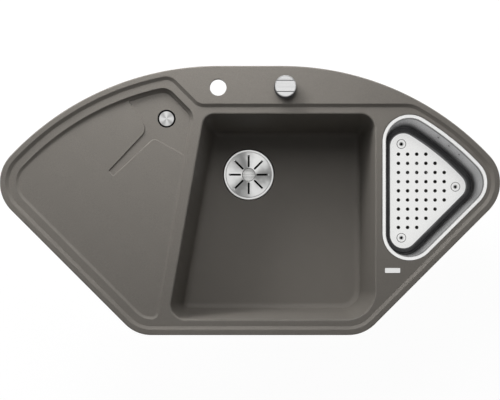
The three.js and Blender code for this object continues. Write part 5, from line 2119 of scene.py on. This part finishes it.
@dataclass
class RimClamps:
    """The six clamps under the rim: a threaded screw, and a claw that swings on it."""

    names: tuple[str, ...] = ("back_left", "back_right", "side_right", "front_right",
                              "front_left", "side_left")
    turns: tuple[float, ...] = (13, -12, 156, 45, -180, -225)
    reach: float = 34.0

    def screw(self) -> Solid:
        """A screw with its head below and a cross recess in it."""
        recess = Solid.spokes((-2.9, -0.6, -78), (2.9, 0.6, -73.5), (0, 90))
        return Solid.turned([
            (0, -76), (4, -76), (5.1, -75.4), (5.5, -74.6), (5.5, -71.4), (5.1, -71), (2.9, -71),
            *thread(2.9, -69.5, -12.4, 1.6, 0.45), (2.3, -11), (0, -11)], 28).cut(*recess)

    def claw(self) -> Solid:
        """A claw: a hub, an arm with a rib along it, and a toothed tip that bites upwards.

        Returns:
            The claw.
        """

        def pad(left: float, right: float, low: float, high: float) -> Solid:
            """A bar with rounded corners and edges.

            Args:
                left: The x of its left end.
                right: The x of its right end.
                low: The height of its foot.
                high: The height of its top.

            Returns:
                The bar.
            """
            outline = Region((Straight(0, -6, 0, 1), Straight(right, 0, -1, 0),
                              Straight(0, 6, 0, -1), Straight(left, 0, 1, 0)), (2, 2, 2, 2), 6)
            return Solid.lofted(outline, [(0.7, low), (0.2, low + 0.2), (0, low + 0.7),
                                          (0, high - 0.7), (0.2, high - 0.2), (0.7, high)])

        hub = Solid.turned(softened([(0, -60), (7.5, -60), (7.5, -50), (0, -50)], 0.9), 48)
        rib = Solid.block((5, -1.4, -54), (28, 1.4, -50.2))
        notches = [Solid.block((-0.7, -8, -0.7), (0.7, 8, 0.7)).moved(x, 0, -41)
                   for x in (28.6, 30.5, 32.4)]
        return hub.add(pad(0, self.reach, -60, -53), pad(self.reach - 7, self.reach, -59.5, -41),
                       rib).cut(Solid.rod(3.5, -64, -46, 32), *notches)

    def build(self) -> None:
        """Makes the screws and the claws."""
        for name, (x, y), turn in zip(self.names, Moulding.clamps, self.turns):
            Ticket(f"clamp_bolt_{name}", "sink", Slot.ZINC, (f"clamp_screw_{name}",)).piece(
                self.screw().moved(x, y))
            Ticket(f"clamp_arm_{name}", f"claw_{name}", Slot.BLACK, (f"clamp_claw_{name}",)
                   ).piece(self.claw().moved(x, y, turn=turn))


# ---- the bare plate


@dataclass
class BarePlate:
    """The small plain plate on the deck in front of the colander."""

    x: float = 299.6
    y: float = -146.9
    width: float = 32.0
    height: float = 10.5
    thick: float = 0.5

    def build(self) -> None:
        """Makes the plate."""
        w, h = self.width / 2, self.height / 2
        region = Region((Straight(0, -h, 0, 1), Straight(w, 0, -1, 0), Straight(0, h, 0, -1),
                         Straight(-w, 0, 1, 0)), (1.2, 1.2, 1.2, 1.2), 6)
        solid = Solid.lofted(region, [(0, DECK_TOP - 0.1), (0, DECK_TOP + self.thick - 0.2),
                                      (0.2, DECK_TOP + self.thick)]).moved(self.x, self.y)
        Ticket("bare_plate", "sink", Slot.STEEL, (),
               Steel("plate_steel", (0.84, 0.84, 0.83), 0.3, (30.0, 500.0, 30.0))).piece(solid)


# ---- studio


def wired(tree: bpy.types.NodeTree, kind: str, *sources: Socket | None, **numbers: float
          ) -> bpy.types.Node:
    """A new node with its first inputs joined and other inputs set.

    Args:
        tree: The material's or the world's tree.
        kind: The node's type.
        *sources: What its first inputs are joined to.
        **numbers: The other inputs, with _ for a space.

    Returns:
        The node.
    """
    node = tree.nodes.new(kind)
    for slot, source in enumerate(sources):
        if source is not None:
            tree.links.new(source, node.inputs[slot])
    for key, number in numbers.items():
        node.inputs[key.replace("_", " ")].default_value = number
    return node


@dataclass
class Studio:
    """The camera above the sink, the soft lamps, the pale floor and the white surroundings."""

    camera_height: float = 3.0
    camera_y: float = -0.156
    width_seen: float = 1.0504
    middle_y: float = 0.0012
    floor_z: float = -0.3562
    floor_half: float = 12.0
    dim: float = 0.07
    skirt_z: float = -0.15
    skirt_power: float = 26.0
    dark_sky: float = 0.14
    low_sky: float = 0.42
    white_sky: float = 0.97
    dark_from: float = 0.87
    white_from: float = 0.975
    top_lamps: tuple[tuple[str, tuple[float, float, float], float], ...] = (
        ("near", (0.0, 0.5, 0.5), 1.0), ("low", (0.0, 0.8, 0.5), 2.3),
        ("left", (-0.5, 1.2, 0.5), 8.6), ("high", (0.0, 0.8, 1.3), 5.6),
        ("far", (-1.0, 1.2, 0.85), 11.5))
    skirt_lamps: tuple[tuple[str, float, float], ...] = (
        ("front", 0.3, -2.4), ("right", 2.4, 0.0), ("left", -2.4, 0.0), ("back", 0.0, 2.4))

    def camera(self) -> None:
        """Makes the camera, looking straight down with its picture shifted towards the back."""
        lens = bpy.data.cameras.new("camera")
        lens.sensor_width = 36.0
        lens.lens = lens.sensor_width * self.camera_height / self.width_seen
        lens.shift_y = (self.middle_y - self.camera_y) / self.width_seen
        lens.clip_end = 50.0
        camera = bpy.data.objects.new("camera", lens)
        camera.location = (0, self.camera_y, self.camera_height + DECK_TOP * MM)
        bpy.context.scene.collection.objects.link(camera)
        bpy.context.scene.camera = camera

    def lamp(self, name: str, spot: Sequence[float], size: Sequence[float], power: float) -> None:
        """Makes a soft rectangular lamp that faces the sink.

        Args:
            name: Its name.
            spot: Where it hangs, in metres.
            size: Its width and height.
            power: Its power in watts.
        """
        light = bpy.data.lights.new(name, "AREA")
        light.shape, light.size, light.size_y = "RECTANGLE", *size
        light.energy = power
        lamp = bpy.data.objects.new(name, light)
        lamp.location = spot
        lamp.rotation_euler = (-Vector(spot)).to_track_quat("-Z", "Y").to_euler()
        lamp.visible_glossy = False
        lamp.visible_camera = False
        bpy.context.scene.collection.objects.link(lamp)

    def surroundings(self) -> None:
        """Makes the world: white to the camera, dim to matt faces, and a soft sky to metal."""
        world = bpy.data.worlds.new("surroundings")
        bpy.context.scene.world = world
        world.use_nodes = True
        tree = world.node_tree
        tree.nodes.clear()

        made = partial(wired, tree)
        path = made("ShaderNodeLightPath")
        way = made("ShaderNodeSeparateXYZ", made("ShaderNodeTexCoord").outputs["Generated"])
        above = made("ShaderNodeMapRange", way.outputs["Z"], From_Min=self.dark_from,
                     From_Max=self.white_from, To_Min=self.dark_sky, To_Max=self.white_sky)
        above.interpolation_type = "SMOOTHSTEP"
        back = made("ShaderNodeMapRange", way.outputs["Y"], From_Min=-0.2, From_Max=0.8,
                    To_Min=0.0, To_Max=0.22)
        left = made("ShaderNodeMapRange", way.outputs["X"], From_Min=0.6, From_Max=-0.8,
                    To_Min=0.0, To_Max=0.16)
        low = made("ShaderNodeMapRange", way.outputs["Z"], From_Min=0.8, From_Max=0.55,
                   To_Min=0.0, To_Max=self.low_sky)
        side = made("ShaderNodeMath", back.outputs[0], left.outputs[0])
        round_about = made("ShaderNodeMath", side.outputs[0], low.outputs[0])
        total = made("ShaderNodeMath", above.outputs[0], round_about.outputs[0])
        sky = made("ShaderNodeBackground", None, total.outputs[0])
        dim = made("ShaderNodeBackground", Strength=self.dim)
        white = made("ShaderNodeBackground", Strength=1.0)
        for node in (sky, dim, white):
            node.inputs["Color"].default_value = (1, 1, 1, 1)
        glossy = made("ShaderNodeMixShader", path.outputs["Is Glossy Ray"], dim.outputs[0],
                      sky.outputs[0])
        seen = made("ShaderNodeMixShader", path.outputs["Is Camera Ray"], glossy.outputs[0],
                    white.outputs[0])
        made("ShaderNodeOutputWorld", seen.outputs[0])

    def floor(self) -> None:
        """Makes the pale floor, white to the camera but for a trace of shadow."""
        mesh = bpy.data.meshes.new("floor")
        half = self.floor_half
        mesh.from_pydata([(x * half, y * half, self.floor_z)
                          for x, y in ((-1, -1), (1, -1), (1, 1), (-1, 1))], [], [(0, 1, 2, 3)])
        obj = bpy.data.objects.new("floor", mesh)
        bpy.context.scene.collection.objects.link(obj)
        material = bpy.data.materials.new("floor")
        material.use_nodes = True
        tree = material.node_tree
        shader = tree.nodes["Principled BSDF"]
        shader.inputs["Base Color"].default_value = (0.8, 0.8, 0.8, 1)
        shader.inputs["Roughness"].default_value = 0.9
        path = wired(tree, "ShaderNodeLightPath")
        glow = wired(tree, "ShaderNodeEmission", Strength=1.06)
        share = wired(tree, "ShaderNodeMath", path.outputs["Is Camera Ray"])
        share.operation = "MULTIPLY"
        share.inputs[1].default_value = 0.9
        mix = wired(tree, "ShaderNodeMixShader", share.outputs[0], shader.outputs[0],
                    glow.outputs[0])
        out = tree.nodes["Material Output"]
        tree.links.new(mix.outputs[0], out.inputs["Surface"])
        mesh.materials.append(material)

    def build(self) -> None:
        """Makes all of the studio."""
        bpy.context.scene.view_settings.view_transform = "Standard"
        self.camera()
        for name, spot, power in self.top_lamps:
            self.lamp(f"{name}_lamp", spot, (0.5, 0.5), power)
        for name, x, y in self.skirt_lamps:
            self.lamp(f"skirt_lamp_{name}", (x, y, self.skirt_z), (1.6, 0.16), self.skirt_power)
        self.surroundings()
        self.floor()


# ---- the whole


def dress_nodes() -> None:
    """Gives every CAD node the finish of its slot."""
    for part in frame["record"]["subparts"]:
        node = frame["nodes"].get(part["node"])
        if node is None:
            continue
        material = FINISHES.of(SLOT_FINISH[Slot(part["material_slot"])])
        node.data.materials.clear()
        node.data.materials.append(material)


def main() -> None:
    """Builds the studio and every part of the sink, in order."""
    logging.basicConfig(level=logging.INFO, format="%(message)s")
    Studio().build()
    dress_nodes()
    for part in (Moulding(), Colander(), MainWaste(), Knob(), DrainOverflow(), SmallWaste(),
                 Pipework(), RimClamps(), BarePlate()):
        part.build()
        LOG.info("%s is made", type(part).__name__)
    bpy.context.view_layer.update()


if __name__ == "__main__":
    main()
